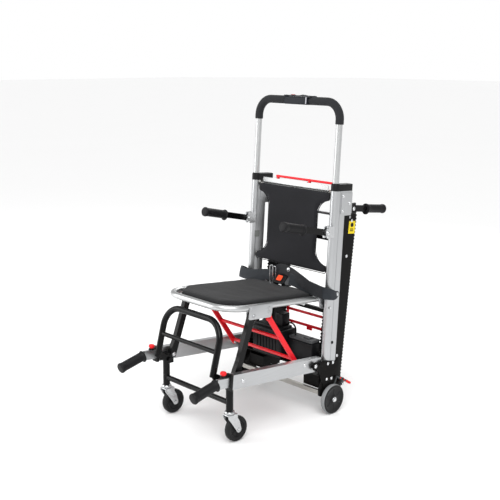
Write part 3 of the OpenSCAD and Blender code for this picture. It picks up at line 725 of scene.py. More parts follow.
def addBolts():
    f = boltFaces
    frameBolts, railBolts, trackBolts, legBolts, plugs = [], [], [], [], []
    foot = pivot("footrest_flip")
    for s in (1, -1):
        out, inward = (s, 0, 0), (-s, 0, 0)
        for turn in (armTurn, rearTurn):
            frameBolts.append(("medium", beside(s, uprightX + f["turnHalf"], turn.y, turn.z), out))
            frameBolts.append(("medium", beside(s, uprightX - f["turnHalf"], turn.y, turn.z), inward))
        frameBolts.append(("rivet", beside(s, f["upright"], seatPivot.y, seatPivot.z), out))
        frameBolts.append(("medium", beside(s, f["uprightInner"], seatPivot.y, seatPivot.z), inward))
        y, z = boltPlaces["belt"]
        frameBolts.append(("medium", beside(s, f["belt"], seatPivot.y + y, seatPivot.z + z), out))
        for y, z in boltPlaces["rearBox"]:
            frameBolts.append(("small", leanFrame @ Vector((s * (uprightX + f["rearBox"]), y, z)), out))
        frameBolts.append(("medium", beside(s, f["wheelPlate"], railPivot.y, railPivot.z), out))
        for y, z in boltPlaces["wheelPlate"]:
            frameBolts.append(("small", beside(s, f["wheelPlate"], wheelAxle.y + y, wheelAxle.z + z), out))
        frameBolts.append(("nut", beside(s, f["axleEnd"], wheelAxle.y, wheelAxle.z), out))
        frameBolts.append(("small", beside(s, f["brake"], brakeTurn.y, brakeTurn.z), out))
        for turn in (legPivot, bracePivot):
            railBolts.append(("medium", beside(s, f["rail"], turn.y, turn.z), out))
        railBolts.append(("medium", beside(s, f["legInner"], legPivot.y, legPivot.z), inward))
        railBolts.append(("medium", beside(s, f["braceInner"], bracePivot.y, bracePivot.z), inward))
        for y, z in boltPlaces["track"]:
            trackBolts.append(("small", trackFrame @ Vector((s * f["track"], y, z)), out))
            trackBolts.append(("small", trackFrame @ Vector((s * f["trackInner"], y, z)), inward))
        plugs.append(("small", leanFrame @ Vector((s * f["upright"], *boltPlaces["plug"])), out))
        legBolts.append(("small", beside(s, f["foot"], foot.y, foot.z), out))
    bolts("frameBolts", frameBolts, boltSteel, "frame", ("frame_fasteners",))
    bolts("railBolts", railBolts, boltSteel, "rails", ("rail_pivots",))
    bolts("trackBolts", trackBolts, boltSteel, "tracks")
    bolts("uprightPlugs", plugs, blackPlastic, "frame")
    bolts("legBolts", legBolts, boltSteel, "legs")
    for label, s in sides:
        name = label.capitalize()
        spacer = turnedPiece("railSpacer" + name, [(0, 0), (0.010, 0), (0.010, 0.008), (0.0085, 0.0085),
                                                   (0, 0.0085)], 40)
        settle(spacer, towards(beside(s, f["spacer"], railPivot.y, railPivot.z), (s, 0, 0)))
        finishWith(spacer, blackPlateCoat, "frame")
        pin = turnedPiece("bracePin" + name, [(0, 0), (0.007, 0), (0.007, 0.0225), (0, 0.0225)], 32)
        settle(pin, towards(beside(s, f["pin"], bracePivot.y, bracePivot.z), (s, 0, 0)))
        finishWith(pin, boltSteel, "rails")


addBolts()
print("bolts are in place")


# foam over both bends of the push handle, from innerEnd down to foamFrom
pushHandle = {"foamRadius": 0.0165, "foamFrom": 0.672, "bend": 0.068, "leftEnd": 0.0665, "rightEnd": 0.0615}


def foamHalf(name, innerEnd, side):
    radius, start, bend = pushHandle["foamRadius"], pushHandle["foamFrom"], pushHandle["bend"]
    deselectAll()
    bpy.ops.mesh.primitive_circle_add(vertices=48, radius=radius, fill_type="NGON",
                                      location=(uprightX, 0, start))
    piece = settle(newPiece(name))
    bpy.ops.object.mode_set(mode="EDIT")
    bpy.ops.mesh.select_all(action="SELECT")
    bpy.ops.mesh.extrude_region_move(TRANSFORM_OT_translate={"value": (0, 0, barHeight - bend - start)})
    bpy.ops.mesh.spin(steps=24, angle=pi / 2, center=(uprightX - bend, 0, barHeight - bend), axis=(0, 1, 0))
    bpy.ops.mesh.extrude_region_move(TRANSFORM_OT_translate={"value": (innerEnd - uprightX + bend, 0, 0)})
    bpy.ops.object.mode_set(mode="OBJECT")
    flipFaces(piece)
    soften(piece, 0.0022, 3, 60)
    settle(piece, leanFrame @ (Matrix.Identity(4) if side > 0 else mirrorX))
    smooth(piece)
    return piece


# the control box between the bends
controlBox = {"left": 0.067, "right": -0.062, "front": -0.022, "back": 0.020, "low": -0.017, "high": 0.0196,
              "lid": 0.0042, "overhang": 0.013, "stripAt": 0.0575, "stripWide": 0.0055}


def controlBoxPieces():
    b = controlBox
    top = barHeight + b["high"]
    seam = top - b["lid"]
    base = blockPiece("controlBase", (b["right"], b["front"], barHeight + b["low"]),
                      (b["left"], b["back"], seam - 0.0005), 0.004, 4)
    lid = blockPiece("controlLid", (b["right"] - 0.001, b["front"] - 0.001, seam),
                     (b["left"] + b["overhang"], b["back"] + 0.001, top), 0.0016, 3)
    switchRim = platePiece("switchRim", roundOutline(0.032, 0.020, 0.004), 0.0012)
    recessTop(switchRim, 0.0022, 0.0008)
    settle(switchRim, Matrix.Translation((0.027, 0, top - 0.0002)))
    ring = turnedPiece("powerRim", [(0.0086, 0), (0.0086, 0.0016), (0.0098, 0.0019), (0.0112, 0.0012),
                                    (0.0116, 0), (0.0086, 0)], 40)
    settle(ring, Matrix.Translation((-0.032, 0, top - 0.0002)))
    screws = [copyOf(models["rivet"], "lidScrew", Matrix.Translation((x, y, top - 0.0012)))
              for x in (-0.054, 0.072) for y in (-0.015, 0.013)]
    case = settle(joined("controlCase", [base, lid, switchRim, ring] + screws), leanFrame)
    finishWith(case, controlPlastic, "push_handle")
    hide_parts("control_box")
    strip = blockPiece("controlStrip", (b["stripAt"], b["front"] - 0.0009, barHeight + b["low"] + 0.003),
                       (b["stripAt"] + b["stripWide"], b["front"] + 0.002, seam - 0.002), 0.0007, 2)
    settle(strip, leanFrame)
    finishWith(strip, stripPlastic, "push_handle")


def addPushHandle():
    for label, s in sides:
        half = foamHalf("handleFoam" + label.capitalize(), pushHandle[label + "End"], s)
        finishWith(half, foamRubber, "push_handle")
        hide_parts("push_handle_foam")
    controlBoxPieces()


addPushHandle()
print("push handle is dressed")


# caps on the upright tops, each with a collar for the push handle
capSize = {"radius": 0.018, "back": 0.086, "corner": 0.006, "from": 0.4125, "height": 0.0275}


def addCaps():
    r, back, corner = capSize["radius"], capSize["back"], capSize["corner"]
    outline = (arcPoints((0, 0), r, 180, 360, 20) + arcPoints((r - corner, back - corner), corner, 0, 90, 6)
               + arcPoints((-r + corner, back - corner), corner, 90, 180, 6))
    cap = platePiece("uprightCapLeft", outline, capSize["height"])
    roundTop(cap, 0.0035)
    collar = turnedPiece("capCollar", [(0.0129, 0), (0.0129, 0.0022), (0.0142, 0.0026), (0.0156, 0.0018),
                                       (0.0160, 0), (0.0129, 0)], 48)
    settle(collar, Matrix.Translation((0, 0, capSize["height"] - 0.0003)))
    cap = settle(joined("uprightCapLeft", [cap, collar]),
                 leanFrame @ Matrix.Translation((uprightX, 0, capSize["from"])))
    other = copyOf(cap, "uprightCapRight", mirrorX)
    for piece in (cap, other):
        finishWith(piece, capPlastic, "frame")
        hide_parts("upright_caps")


addCaps()


# length and radius of each kind of rubber grip
gripKinds = {"armrest": (0.118, 0.0175), "rear_handle": (0.118, 0.0175), "front_handle": (0.116, 0.019)}
gripShape = {"flange": 0.0028, "ribs": 13, "ribDepth": 0.0004, "guard": 0.0045}


def gripModel(name, length, r):
    flange, depth = gripShape["flange"], gripShape["ribDepth"]
    outline = [(0, 0), (r + flange - 0.0016, 0), (r + flange - 0.0003, 0.0006), (r + flange, 0.0018),
               (r + flange, 0.0040), (r + flange - 0.0008, 0.0052), (r + 0.0008, 0.0060), (r, 0.0085)]
    first, last, count = 0.020, length - 0.026, gripShape["ribs"]
    for i in range(count):
        h = first + (last - first) * i / (count - 1)
        outline += [(r, h - 0.0017), (r - depth, h - 0.0009), (r - depth, h + 0.0009), (r, h + 0.0017)]
    outline += [(r, length - 0.015), (r + 0.0014, length - 0.0115), (r + 0.0021, length - 0.0075),
                (r + 0.0016, length - 0.0035), (r - 0.0008, length - 0.0008), (r - 0.004, length),
                (0, length)]
    grip = turnedPiece(name, outline, 48)
    for vertex in grip.data.vertices:                 # the flange hangs lower, as a finger guard
        if vertex.co.z < 0.0062 and vertex.co.y < 0:
            reach = sqrt(vertex.co.x ** 2 + vertex.co.y ** 2) / r
            vertex.co.y -= gripShape["guard"] * min(1, reach) ** 4 * (-vertex.co.y / (r + flange))
    return grip


def addGrips():
    places = {"armrest": armTurn, "rear_handle": rearTurn}
    for kind, (length, r) in gripKinds.items():
        model = gripModel("gripModel", length, r)
        for label, s in sides:
            node = f"{kind}_grip_{label}"
            low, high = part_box(node)
            centre = (low + high) / 2
            if kind == "front_handle":
                root = railFrame @ Vector((s * 0.220, -0.507, 0))
                centre.x = root.x
            else:
                root = Vector((centre.x, places[kind].y, places[kind].z))
            axis = (centre - root).normalized()
            turn = planeAt(centre - axis * length / 2, axis)
            if axis.y > 0:
                turn = turn @ Matrix.Rotation(pi, 4, "Z")
            piece = copyOf(model, kind.replace("_h", "H") + "Grip" + label.capitalize(), turn)
            smooth(piece)
            finishWith(piece, gripRubber, nodes[node]["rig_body"])
            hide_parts(node)
        bpy.data.objects.remove(model)


addGrips()
print("caps and grips are on")


# the left front caster; its fork is bent from plate under a pressed swivel head
casterShape = {"yokeTop": 0.1165, "yokeFront": -0.020, "yokeBack": 0.026, "half": 0.018, "plate": 0.003,
               "nutScale": 0.75, "ribs": 12}


def buildFork():
    c = casterShape
    y0, z1 = swivel.y, c["yokeTop"]
    head = turnedPiece("forkHead", [(0, 0.1085), (0.0135, 0.1085), (0.0190, 0.1115), (0.0202, 0.1145),
                                    (0.0192, 0.1172), (0.0166, 0.1182), (0.0166, 0.1198), (0.0194, 0.1210),
                                    (0.0200, 0.1242), (0.0182, 0.1280), (0.0135, 0.1296), (0, 0.1298)], 64)
    settle(head, Matrix.Translation((swivel.x, y0, 0)))
    front, rear = y0 + c["yokeFront"], y0 + c["yokeBack"]
    yoke = blockPiece("forkYoke", (swivel.x - c["half"], front, z1 - 0.0045),
                      (swivel.x + c["half"], rear, z1), 0.0015, 3)
    outline = ([(rear, z1 - 0.001), (front, z1 - 0.001), (front, z1 - 0.012)]
               + arcPoints((casterAxle.y, casterAxle.z), 0.0125, 190, 370, 16)
               + [(rear + 0.010, z1 - 0.034), (rear, z1 - 0.018)])
    legs = []
    for x in (-c["half"], c["half"] - c["plate"]):
        leg = platePiece("forkLeg", outline, c["plate"], 0.0007, 2)
        legs.append(settle(leg, acrossX(swivel.x + x)))
    heads = []
    for d in (1, -1):
        place = towards((swivel.x + d * c["half"], casterAxle.y, casterAxle.z), (d, 0, 0))
        heads.append(copyOf(models["nut"], "forkNut", place @ Matrix.Scale(c["nutScale"], 4)))
    axle = turnedPiece("forkAxle", [(0, -0.016), (0.004, -0.016), (0.004, 0.016), (0, 0.016)], 24)
    settle(axle, towards((swivel.x, casterAxle.y, casterAxle.z), (1, 0, 0)))
    fork = joined("casterForkLeft", [head, yoke, axle] + legs + heads)
    smooth(fork, 35)
    return fork


# the other half of a wheel's outline
def acrossTread(half):
    return [(r, -h) for r, h in reversed(half)]


def buildCasterWheel():
    turn = towards(casterAxle, (1, 0, 0))
    half = [(0.0355, -0.0115), (0.0395, -0.0118), (0.0425, -0.0130), (0.0470, -0.0112), (0.0492, -0.0070)]
    tyre = turnedPiece("casterTyreLeft", half + [(0.0500, 0)] + acrossTread(half) + half[:1], 96)
    settle(tyre, turn)
    half = [(0, 0.0146), (0.0060, 0.0146), (0.0072, 0.0138), (0.0108, 0.0136), (0.0118, 0.0096),
            (0.0150, 0.0072), (0.0310, 0.0072), (0.0335, 0.0106), (0.0358, 0.0110)]
    core = turnedPiece("casterHubLeft", half + acrossTread(half), 72)
    ribs = []
    for i in range(casterShape["ribs"]):
        rib = blockPiece("casterRib", (0.0120, -0.0011, 0.0060), (0.0325, 0.0011, 0.0092), 0.0004, 1)
        flip = Matrix.Rotation(pi, 4, "X") if i % 2 else Matrix.Identity(4)
        ribs.append(settle(rib, Matrix.Rotation(pi * i / 6, 4, "Z") @ flip))
    hub = settle(joined("casterHubLeft", [core] + ribs), turn)
    smooth(hub, 35)
    return tyre, hub


# finishes the left pieces, then mirrors them and finishes the right ones
def addBothSides(pieces, finishes):
    for label, s in sides:
        if s < 0:
            pieces = [copyOf(p, p.name.replace("Left", "Right"), mirrorX) for p in pieces]
        for piece, (material, body, slot, node) in zip(pieces, finishes):
            finishWith(piece, material, body + label)
            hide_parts(node + label)


addBothSides((buildFork(), *buildCasterWheel()),
             ((zincPlate, "caster_", "bright_steel", "caster_fork_"),
              (tyreRubber, "caster_wheel_", "tyre", "caster_wheel_"),
              (hubPlastic, "caster_wheel_", "wheel", "caster_wheel_")))


# the left rear wheel: a grey tread on a webbed disc
wheelShape = {"tread": 0.0615, "disc": 0.0592, "half": 0.0110, "webs": 6}


def buildRearWheel():
    turn = towards(wheelAxle, (1, 0, 0))
    r, d, w = wheelShape["tread"], wheelShape["disc"], wheelShape["half"]
    band = [(d - 0.004, w - 0.0018), (d, w - 0.0014), (r - 0.0012, w - 0.0034), (r - 0.0002, w - 0.0056)]
    tread = turnedPiece("rearTreadLeft", band + [(r, 0)] + acrossTread(band) + band[:1], 112)
    half = [(0, 0.0112), (0.0165, 0.0112), (0.0180, 0.0104), (0.0186, 0.0088), (0.0220, 0.0082),
            (0.0440, 0.0082), (0.0470, 0.0096), (0.0500, 0.0110), (0.0565, 0.0110), (d - 0.0006, 0.0102),
            (d, w - 0.0014)]
    disc = turnedPiece("rearDiscLeft", half + acrossTread(half), 112)
    webs = []
    for i in range(wheelShape["webs"]):
        web = blockPiece("rearWeb", (0.0185, -0.0016, 0.0070), (0.0465, 0.0016, 0.0092), 0.0005, 2)
        webs.append(settle(web, Matrix.Rotation(pi * i / 3, 4, "Z")))
    disc = joined("rearDiscLeft", [disc] + webs)
    for piece in (tread, disc):
        settle(piece, turn)
        smooth(piece, 35)
    return tread, disc


# the left brake: a bent arm on its pivot, with a red pedal tip
brakeShape = {"from": 0.250, "thick": 0.0125, "shoe": (-0.026, 0.034), "knee": (0.002, 0.020),
              "mid": (0.030, 0.003), "tipFrom": (0.0245, 0.0065), "tip": (0.0465, -0.0075),
              "inserts": ((-0.014, 0.029), (0.008, 0.016))}


def buildBrake():
    b = brakeShape
    parts = [platePiece("brakeArm", capsule(b["shoe"], b["knee"], 0.0085), b["thick"], 0.001),
             platePiece("brakeArm", capsule(b["knee"], b["mid"], 0.0090), b["thick"], 0.001),
             platePiece("brakeArm", capsule(b["knee"], (0, 0), 0.0135), b["thick"], 0.001),
             platePiece("brakeArm", capsule((-0.046, -0.006), b["shoe"], 0.0045), 0.004, 0.0008)]
    arm = settle(joined("brakeArmLeft", parts), acrossX(b["from"], brakeTurn.y, brakeTurn.z))
    shape = capsule(b["tipFrom"], b["tip"], 0.0100)
    tip = platePiece("brakeTipLeft", shape, b["thick"] + 0.003, 0.0022, 3)
    settle(tip, acrossX(b["from"] - 0.0015, brakeTurn.y, brakeTurn.z))
    inserts = []
    for y, z in b["inserts"]:
        insert = turnedPiece("brakeInsert", [(0, 0), (0.0036, 0), (0.0036, 0.0008), (0.0028, 0.0014),
                                             (0, 0.0014)], 24)
        place = (b["from"] + b["thick"], brakeTurn.y + y, brakeTurn.z + z)
        inserts.append(settle(insert, towards(place, (1, 0, 0))))
    return arm, joined("brakeTipLeft", [tip] + inserts)


addBothSides((*buildRearWheel(), *buildBrake()),
             ((treadRubber, "rear_wheel_", "tyre", "rear_wheel_"),
              (hubPlastic, "rear_wheel_", "wheel", "rear_wheel_"),
              (armPlastic, "brake_", "red_steel", "brake_"),
              (redTip, "brake_", "red_steel", "brake_")))
print("casters, wheels and brakes are on")


# pull knobs that lock the front handles, with shallow finger flutes
knobShape = {"place": (0.215, -0.471, 0.021), "flutes": 8, "deep": 0.07, "fluteFrom": 0.0105,
             "fluteTo": 0.021}


def addKnobs():
    k = knobShape
    outline = [(0, 0.0068), (0.0074, 0.0068), (0.0084, 0.0080), (0.0084, 0.0102), (0.0110, 0.0108),
               (0.0121, 0.0124), (0.0123, 0.0150), (0.0121, 0.0178), (0.0108, 0.0206), (0.0080, 0.0224),
               (0.0040, 0.0231), (0, 0.0233)]
    model = turnedPiece("knobModel", outline, 64)
    for vertex in model.data.vertices:
        x, y, z = vertex.co
        if sqrt(x * x + y * y) > k["fluteFrom"] and k["fluteFrom"] < z < k["fluteTo"]:
            share = 1 - k["deep"] * max(0, cos(k["flutes"] * atan2(y, x)))
            vertex.co.x = x * share
            vertex.co.y = y * share
    stem = turnedPiece("stemModel", [(0, -0.002), (0.0039, -0.002), (0.0039, 0.0072), (0, 0.0072)], 32)
    x, y, z = k["place"]
    for label, s in sides:
        for source, name, material, slot in ((model, "pullKnob", redPlastic, "red_plastic"),
                                             (stem, "pullStem", boltSteel, "bright_steel")):
            piece = copyOf(source, name + label.capitalize(), railFrame @ Matrix.Translation((s * x, y, z)))
            smooth(piece, 50)
            finishWith(piece, material, "knob_" + label)
            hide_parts("handle_knob_" + label)
    bpy.data.objects.remove(model)
    bpy.data.objects.remove(stem)


addKnobs()
print("pull knobs are in")


# the motor housing with its ribs, lid and tower, and the battery box with its lid
housing = {"bevel": 0.009, "lidHeight": 0.012, "lidInset": 0.012, "bodyHigh": 0.118, "ribs": 7,
           "ribFrom": 0.028, "ribStep": 0.018, "ribWide": 0.006}
battery = {"bodyHigh": 0.0875, "lidLow": 0.0880, "lidHigh": 0.100, "handleLeft": 0.110,
           "handleRight": 0.142}


def addDrive():
    low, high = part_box("motor_housing")
    z1 = low.z + housing["bodyHigh"]
    y0 = low.y + 0.003
    body = blockPiece("motorBody", (low.x, y0, low.z), (high.x, high.y, z1), housing["bevel"], 5)
    inset = housing["lidInset"]
    lid = blockPiece("motorLid", (low.x + inset, y0 + inset, z1 - 0.004),
                     (high.x - inset, high.y - inset, z1 + housing["lidHeight"]), 0.005, 4)
    parts = [body, lid]
    for i in range(housing["ribs"]):
        x = low.x + housing["ribFrom"] + i * housing["ribStep"]
        parts.append(blockPiece("motorRib", (x, low.y, low.z + 0.015),
                                (x + housing["ribWide"], y0 + 0.002, z1 - 0.018), 0.0012, 2))
    tower = blockPiece("motorTower", (-0.040, high.y - 0.056, z1),
                       (0.004, high.y - 0.012, high.z), 0.004, 3)
    pickFaces(tower, (0, -1, 0), 0.95)
    bpy.ops.mesh.inset(thickness=0.005, depth=-0.0012)
    bpy.ops.object.mode_set(mode="OBJECT")
    parts.append(tower)
    lidTop = z1 + housing["lidHeight"] - 0.0008
    parts += [copyOf(models["rivet"], "motorScrew", Matrix.Translation((x, y, lidTop)))
              for x in (low.x + 0.022, high.x - 0.022) for y in (y0 + 0.022, high.y - 0.022)]
    case = joined("motorCase", parts)
    finishWith(case, casePlastic, "frame")
    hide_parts("motor_housing")
    low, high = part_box("battery_box")
    body = blockPiece("batteryCase", low, (high.x, high.y, low.z + battery["bodyHigh"]), 0.005, 4)
    finishWith(body, casePlastic, "frame")
    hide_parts("battery_box")
    lid = blockPiece("batteryLidPlate", (low.x + 0.003, low.y + 0.002, low.z + battery["lidLow"]),
                     (high.x - 0.003, high.y - 0.002, low.z + battery["lidHigh"]), 0.004, 3)
    handle = blockPiece("batteryHandle", (battery["handleLeft"], low.y + 0.015, low.z + 0.099),
                        (battery["handleRight"], low.y + 0.041, high.z), 0.002, 3)
    lid = joined("batteryLid", [lid, handle])
    finishWith(lid, greyPlastic, "frame")
    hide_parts("battery_box")


addDrive()
print("drive housings are in place")


# outline of a polygon whose corners are rounded, each by its own radius
def filleted(points, radii, count=8):
    outline = []
    total = len(points)
    for i, (p, radius) in enumerate(zip(points, radii)):
        here = Vector(p)
        before = (Vector(points[i - 1]) - here).normalized()
        after = (Vector(points[(i + 1) % total]) - here).normalized()
        half = before.angle(after) / 2
        reach = radius / sin(half) * cos(half)
        centre = here + (before + after).normalized() * radius / sin(half)
        first, last = here + before * reach - centre, here + after * reach - centre
        turn = atan2(first.x * last.y - first.y * last.x, first.dot(last))
        for step in range(count + 1):
            angle = turn * step / count
            outline.append((centre.x + first.x * cos(angle) - first.y * sin(angle),
                            centre.y + first.x * sin(angle) + first.y * cos(angle)))
    return outline


# distance from a point to the nearest edge of an outline
def edgeDistance(x, y, outline):
    best = 1.0
    for (x0, y0), (x1, y1) in zip(outline, outline[1:] + outline[:1]):
        dx, dy = x1 - x0, y1 - y0
        length = dx * dx + dy * dy
        t = 0.0 if length < 1e-12 else min(1, max(0, ((x - x0) * dx + (y - y0) * dy) / length))
        best = min(best, sqrt((x0 + t * dx - x) ** 2 + (y0 + t * dy - y) ** 2))
    return best


# how the cloth of the pads behaves while they are filled
stuffing = {"quality": 5, "mass": 0.3, "tension_stiffness": 25, "compression_stiffness": 25,
            "bending_stiffness": 2.0, "use_pressure": True}


# fills a closed pad with air by cloth simulation, and holds every point within a cap
def puff(pad, voxel, pressure, cap, frames=20):
    applyModifier(pad, "REMESH", mode="VOXEL", voxel_size=voxel)
    rest = [vertex.co.copy() for vertex in pad.data.vertices]
    useOnly(pad)
    cloth = pad.modifiers.new("stuffing", "CLOTH")
    for key, value in stuffing.items():
        setattr(cloth.settings, key, value)
    cloth.settings.uniform_pressure_force = pressure
    cloth.settings.effector_weights.gravity = 0
    cloth.collision_settings.use_self_collision = False
    cloth.point_cache.frame_start = 1
    cloth.point_cache.frame_end = frames
    scene = bpy.context.scene
    for number in range(1, frames + 1):
        scene.frame_set(number)
    bpy.ops.object.modifier_apply(modifier=cloth.name)
    scene.frame_set(1)
    for vertex, start in zip(pad.data.vertices, rest):
        move = vertex.co - start
        if move.length > cap:
            vertex.co = start + move.normalized() * cap


# a closed round cord along an outline
def piping(name, outline, height, radius):
    cord = startPoint(name, (*outline[0], height))
    runAlong([(x, y, height) for x, y in outline + outline[:1]])
    bpy.ops.mesh.select_all(action="SELECT")
    bpy.ops.mesh.remove_doubles(threshold=1e-5)
    bpy.ops.object.mode_set(mode="OBJECT")
    useOnly(cord)
    bpy.ops.object.convert(target="CURVE")
    cord.data.bevel_depth = radius
    cord.data.bevel_resolution = 3
    bpy.ops.object.convert(target="MESH")
    flipFaces(cord)
    smooth(cord, 60)
    return cord


# a sewn line sinks most at its own distance from the edge
def seamSink(inward, seam, deep, spread):
    return deep * exp(-((inward - seam) / spread) ** 2)


# seat cushion: a thin pad with a sewn edge on a dark base
cushion = {"rear": -0.014, "shoulder": -0.404, "front": -0.485, "half": 0.1725, "nose": 0.110,
           "low": 0.0245, "base": 0.0310, "high": 0.0485, "inset": 0.001, "voxel": 0.0045, "pressure": 1.5,
           "cap": 0.0025, "seam": 0.017, "seamDeep": 0.0014, "seamWide": 0.0022, "creases": 0.0011}


def cushionOutline(inset):
    c = cushion
    half, nose = c["half"] - inset, c["nose"] - inset * 0.5
    points = [(half, c["rear"] - inset), (-half, c["rear"] - inset), (-half, c["shoulder"] - inset * 0.3),
              (-nose, c["front"] + inset), (nose, c["front"] + inset), (half, c["shoulder"] - inset * 0.3)]
    return filleted(points, (0.010, 0.010, 0.014, 0.014, 0.014, 0.014))


def addCushion():
    c = cushion
    top = platePiece("seatCushion", cushionOutline(c["inset"]), c["high"] - c["base"])
    settle(top, Matrix.Translation((0, 0, c["base"])))
    puff(top, c["voxel"], c["pressure"], c["cap"])
    applyModifier(top, "SUBSURF", levels=1, render_levels=1)
    middle = (c["base"] + c["high"]) / 2
    outline = cushionOutline(0)
    for vertex in top.data.vertices:
        x, y, z = vertex.co
        inward = edgeDistance(x, y, outline)
        if z > middle:                                # a sewn line round the top, and soft creases
            sink = seamSink(inward, c["seam"], c["seamDeep"], c["seamWide"])
            drift = Vector((x * 9, y * 22, 0.4))
            crease = c["creases"] * noise.noise(drift) + 0.4 * c["creases"] * noise.noise(drift * 3.1)
            vertex.co.z += crease - sink
        elif z < c["base"]:                           # flat where it lies on its base
            vertex.co.z = c["base"]
    smooth(top, 80)
    base = platePiece("cushionBase", outline, c["base"] + 0.001 - c["low"], 0.0022, 3)
    settle(base, Matrix.Translation((0, 0, c["low"])))
    edge = piping("cushionPiping", cushionOutline(0.0015), c["base"] + 0.0008, 0.0019)
    for piece, material in ((top, seatCloth), (base, edgeVinyl), (edge, edgeVinyl)):
        settle(piece, seatFrame)
        finishWith(piece, material, "seat")
        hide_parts("seat_pad")


# back panel: a padded sling with a waist, sewn round its edge
backPad = {"half": 0.202, "waist": 0.142, "low": 0.074, "high": 0.408, "waistLow": 0.104,
           "waistHigh": 0.370, "front": -0.0060, "back": 0.0040, "voxel": 0.0045, "pressure": 2.5,
           "cap": 0.0035, "frames": 16, "seam": 0.009, "seamDeep": 0.0010, "seamWide": 0.0020,
           "sag": 0.0022}


def backOutline(inset):
    b = backPad
    half, waist = b["half"] - inset, b["waist"] - inset
    low, high = b["low"] + inset, b["high"] - inset
    lowEar, highEar = b["waistLow"] - inset, b["waistHigh"] + inset
    right = [(half, low), (half, lowEar), (waist, lowEar + 0.022), (waist, highEar - 0.006),
             (half, highEar), (half, high)]
    radii = (0.010, 0.012, 0.062, 0.062, 0.010, 0.010)
    left = [(-x, y) for x, y in reversed(right)]
    return filleted(right + left, radii + tuple(reversed(radii)), 10)


def addBackPanel():
    b = backPad
    pad = platePiece("backPanel", backOutline(0.002), b["back"] - b["front"])
    settle(pad, Matrix.Translation((0, 0, -b["back"])))
    puff(pad, b["voxel"], b["pressure"], b["cap"], b["frames"])
    applyModifier(pad, "SUBSURF", levels=1, render_levels=1)
    outline = backOutline(0)
    middle = (b["low"] + b["high"]) / 2
    for vertex in pad.data.vertices:
        x, y, z = vertex.co
        inward = edgeDistance(x, y, outline)
        facing = 1 if z > 0 else -1
        sink = seamSink(inward, b["seam"], b["seamDeep"], b["seamWide"])
        rise = cos(pi * (y - middle) / (b["high"] - b["low"]))
        pull = b["sag"] * cos(pi * min(1, abs(x) / b["half"]) / 2) * rise
        drift = Vector((x * 7, y * 13, facing * 0.7))
        vertex.co.z += -facing * sink - pull * 0.6 + 0.0008 * noise.noise(drift)
    turn = Matrix(((1, 0, 0, 0), (0, 0, -1, 0), (0, 1, 0, 0), (0, 0, 0, 1)))     # stands the pad up
    edge = piping("backPiping", backOutline(0.0012), 0.001, 0.0016)
    for piece in (pad, edge):
        settle(piece, leanFrame @ turn)
        finishWith(piece, backCloth if piece is pad else edgeVinyl, "frame")
        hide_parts("back_panel")
    smooth(pad, 80)


addCushion()
addBackPanel()
print("seat cushion and back panel are sewn")


# the point at a share of the way along a smooth curve through points
def onCurve(points, share):
    place = share * (len(points) - 1)
    i = min(int(place), len(points) - 2)
    t = place - i
    p = [points[max(i - 1, 0)], points[i], points[i + 1], points[min(i + 2, len(points) - 1)]]
    return (p[1] * 2 + (p[2] - p[0]) * t + (p[0] * 2 - p[1] * 5 + p[2] * 4 - p[3]) * t * t
            + (p[1] * 3 - p[0] - p[2] * 3 + p[3]) * t ** 3) * 0.5


# a strap whose middle line runs through points, each with its width and the way its width lies
def strap(name, route, thickness, steps=72, across=8, edge=0.0008, crown=0.0):
    centres = [seatPivot + Vector(p) * mm for p, width, lie in route]
    lies = [Vector(lie).normalized() * width * mm for p, width, lie in route]
    deselectAll()
    bpy.ops.mesh.primitive_grid_add(x_subdivisions=steps, y_subdivisions=across, size=2)
    piece = newPiece(name)
    strapMap = piece.data.uv_layers[0]
    strapMap.name = "strapMap"
    length, walked, last = 0.0, [], None
    for i in range(steps + 1):
        here = onCurve(centres, i / steps)
        length += 0 if last is None else (here - last).length
        walked.append(length)
        last = here
    for loop in piece.data.loops:
        x, y = piece.data.vertices[loop.vertex_index].co.xy
        step = min(steps, round((x + 1) / 2 * steps))
        strapMap.data[loop.index].uv = (walked[step], y / 2 * onCurve(lies, (x + 1) / 2).length)
    for vertex in piece.data.vertices:
        share, side = (vertex.co.x + 1) / 2, vertex.co.y / 2
        ahead = onCurve(centres, min(1, share + 0.01)) - onCurve(centres, max(0, share - 0.01))
        lie = onCurve(lies, share)
        out = ahead.cross(lie).normalized()
        ripple = 0.0012 * noise.noise(Vector((walked[round(share * steps)] * 28, side * 3, len(name))))
        vertex.co = onCurve(centres, share) + lie * side + out * (crown * (1 - (2 * side) ** 2) + ripple)
    applyModifier(piece, "SOLIDIFY", thickness=thickness, offset=0)
    flipFaces(piece)
    applyModifier(piece, "BEVEL", width=edge, segments=2, limit_method="ANGLE", angle_limit=radians(50))
    smooth(piece, 60)
    return piece, length


# routes from the seat pivot in mm: a point, the strap's width there, and the way its width lies
nearRoute = [((243, 38, 50), 22, (0, -0.3, 1)), ((248.5, 27, 51), 30, (0, -0.25, 1)),
             ((250, 8, 55), 47, (0, -0.25, 1)), ((246, -14, 60), 50, (-0.05, -0.2, 1)),
             ((228, -31, 65), 50, (-0.15, 0, 1)), ((200, -40, 71), 52, (0.05, 0, 1)),
             ((160, -44, 79), 52, (0.2, 0, 1)), ((105, -44, 87), 50, (0.22, 0, 1)),
             ((54, -42, 92), 46, (0.1, 0.1, 1))]
risingRoute = [((232, -38, 66), 44, (0, 0, 1)), ((206, -49, 75), 46, (0.25, 0, 1)),
               ((172, -54, 86), 46, (0.5, 0, 1)), ((138, -53, 99), 46, (0.42, 0, 1)),
               ((100, -46, 110), 44, (0.2, 0, 1)), ((50, -32, 118), 42, (0, 0.1, 1)),
               ((0, -22, 121), 42, (0, 0.1, 1)), ((-38, -20, 112), 42, (-0.2, 0.1, 1)),
               ((-56, -26, 96), 42, (-0.2, 0.1, 1))]
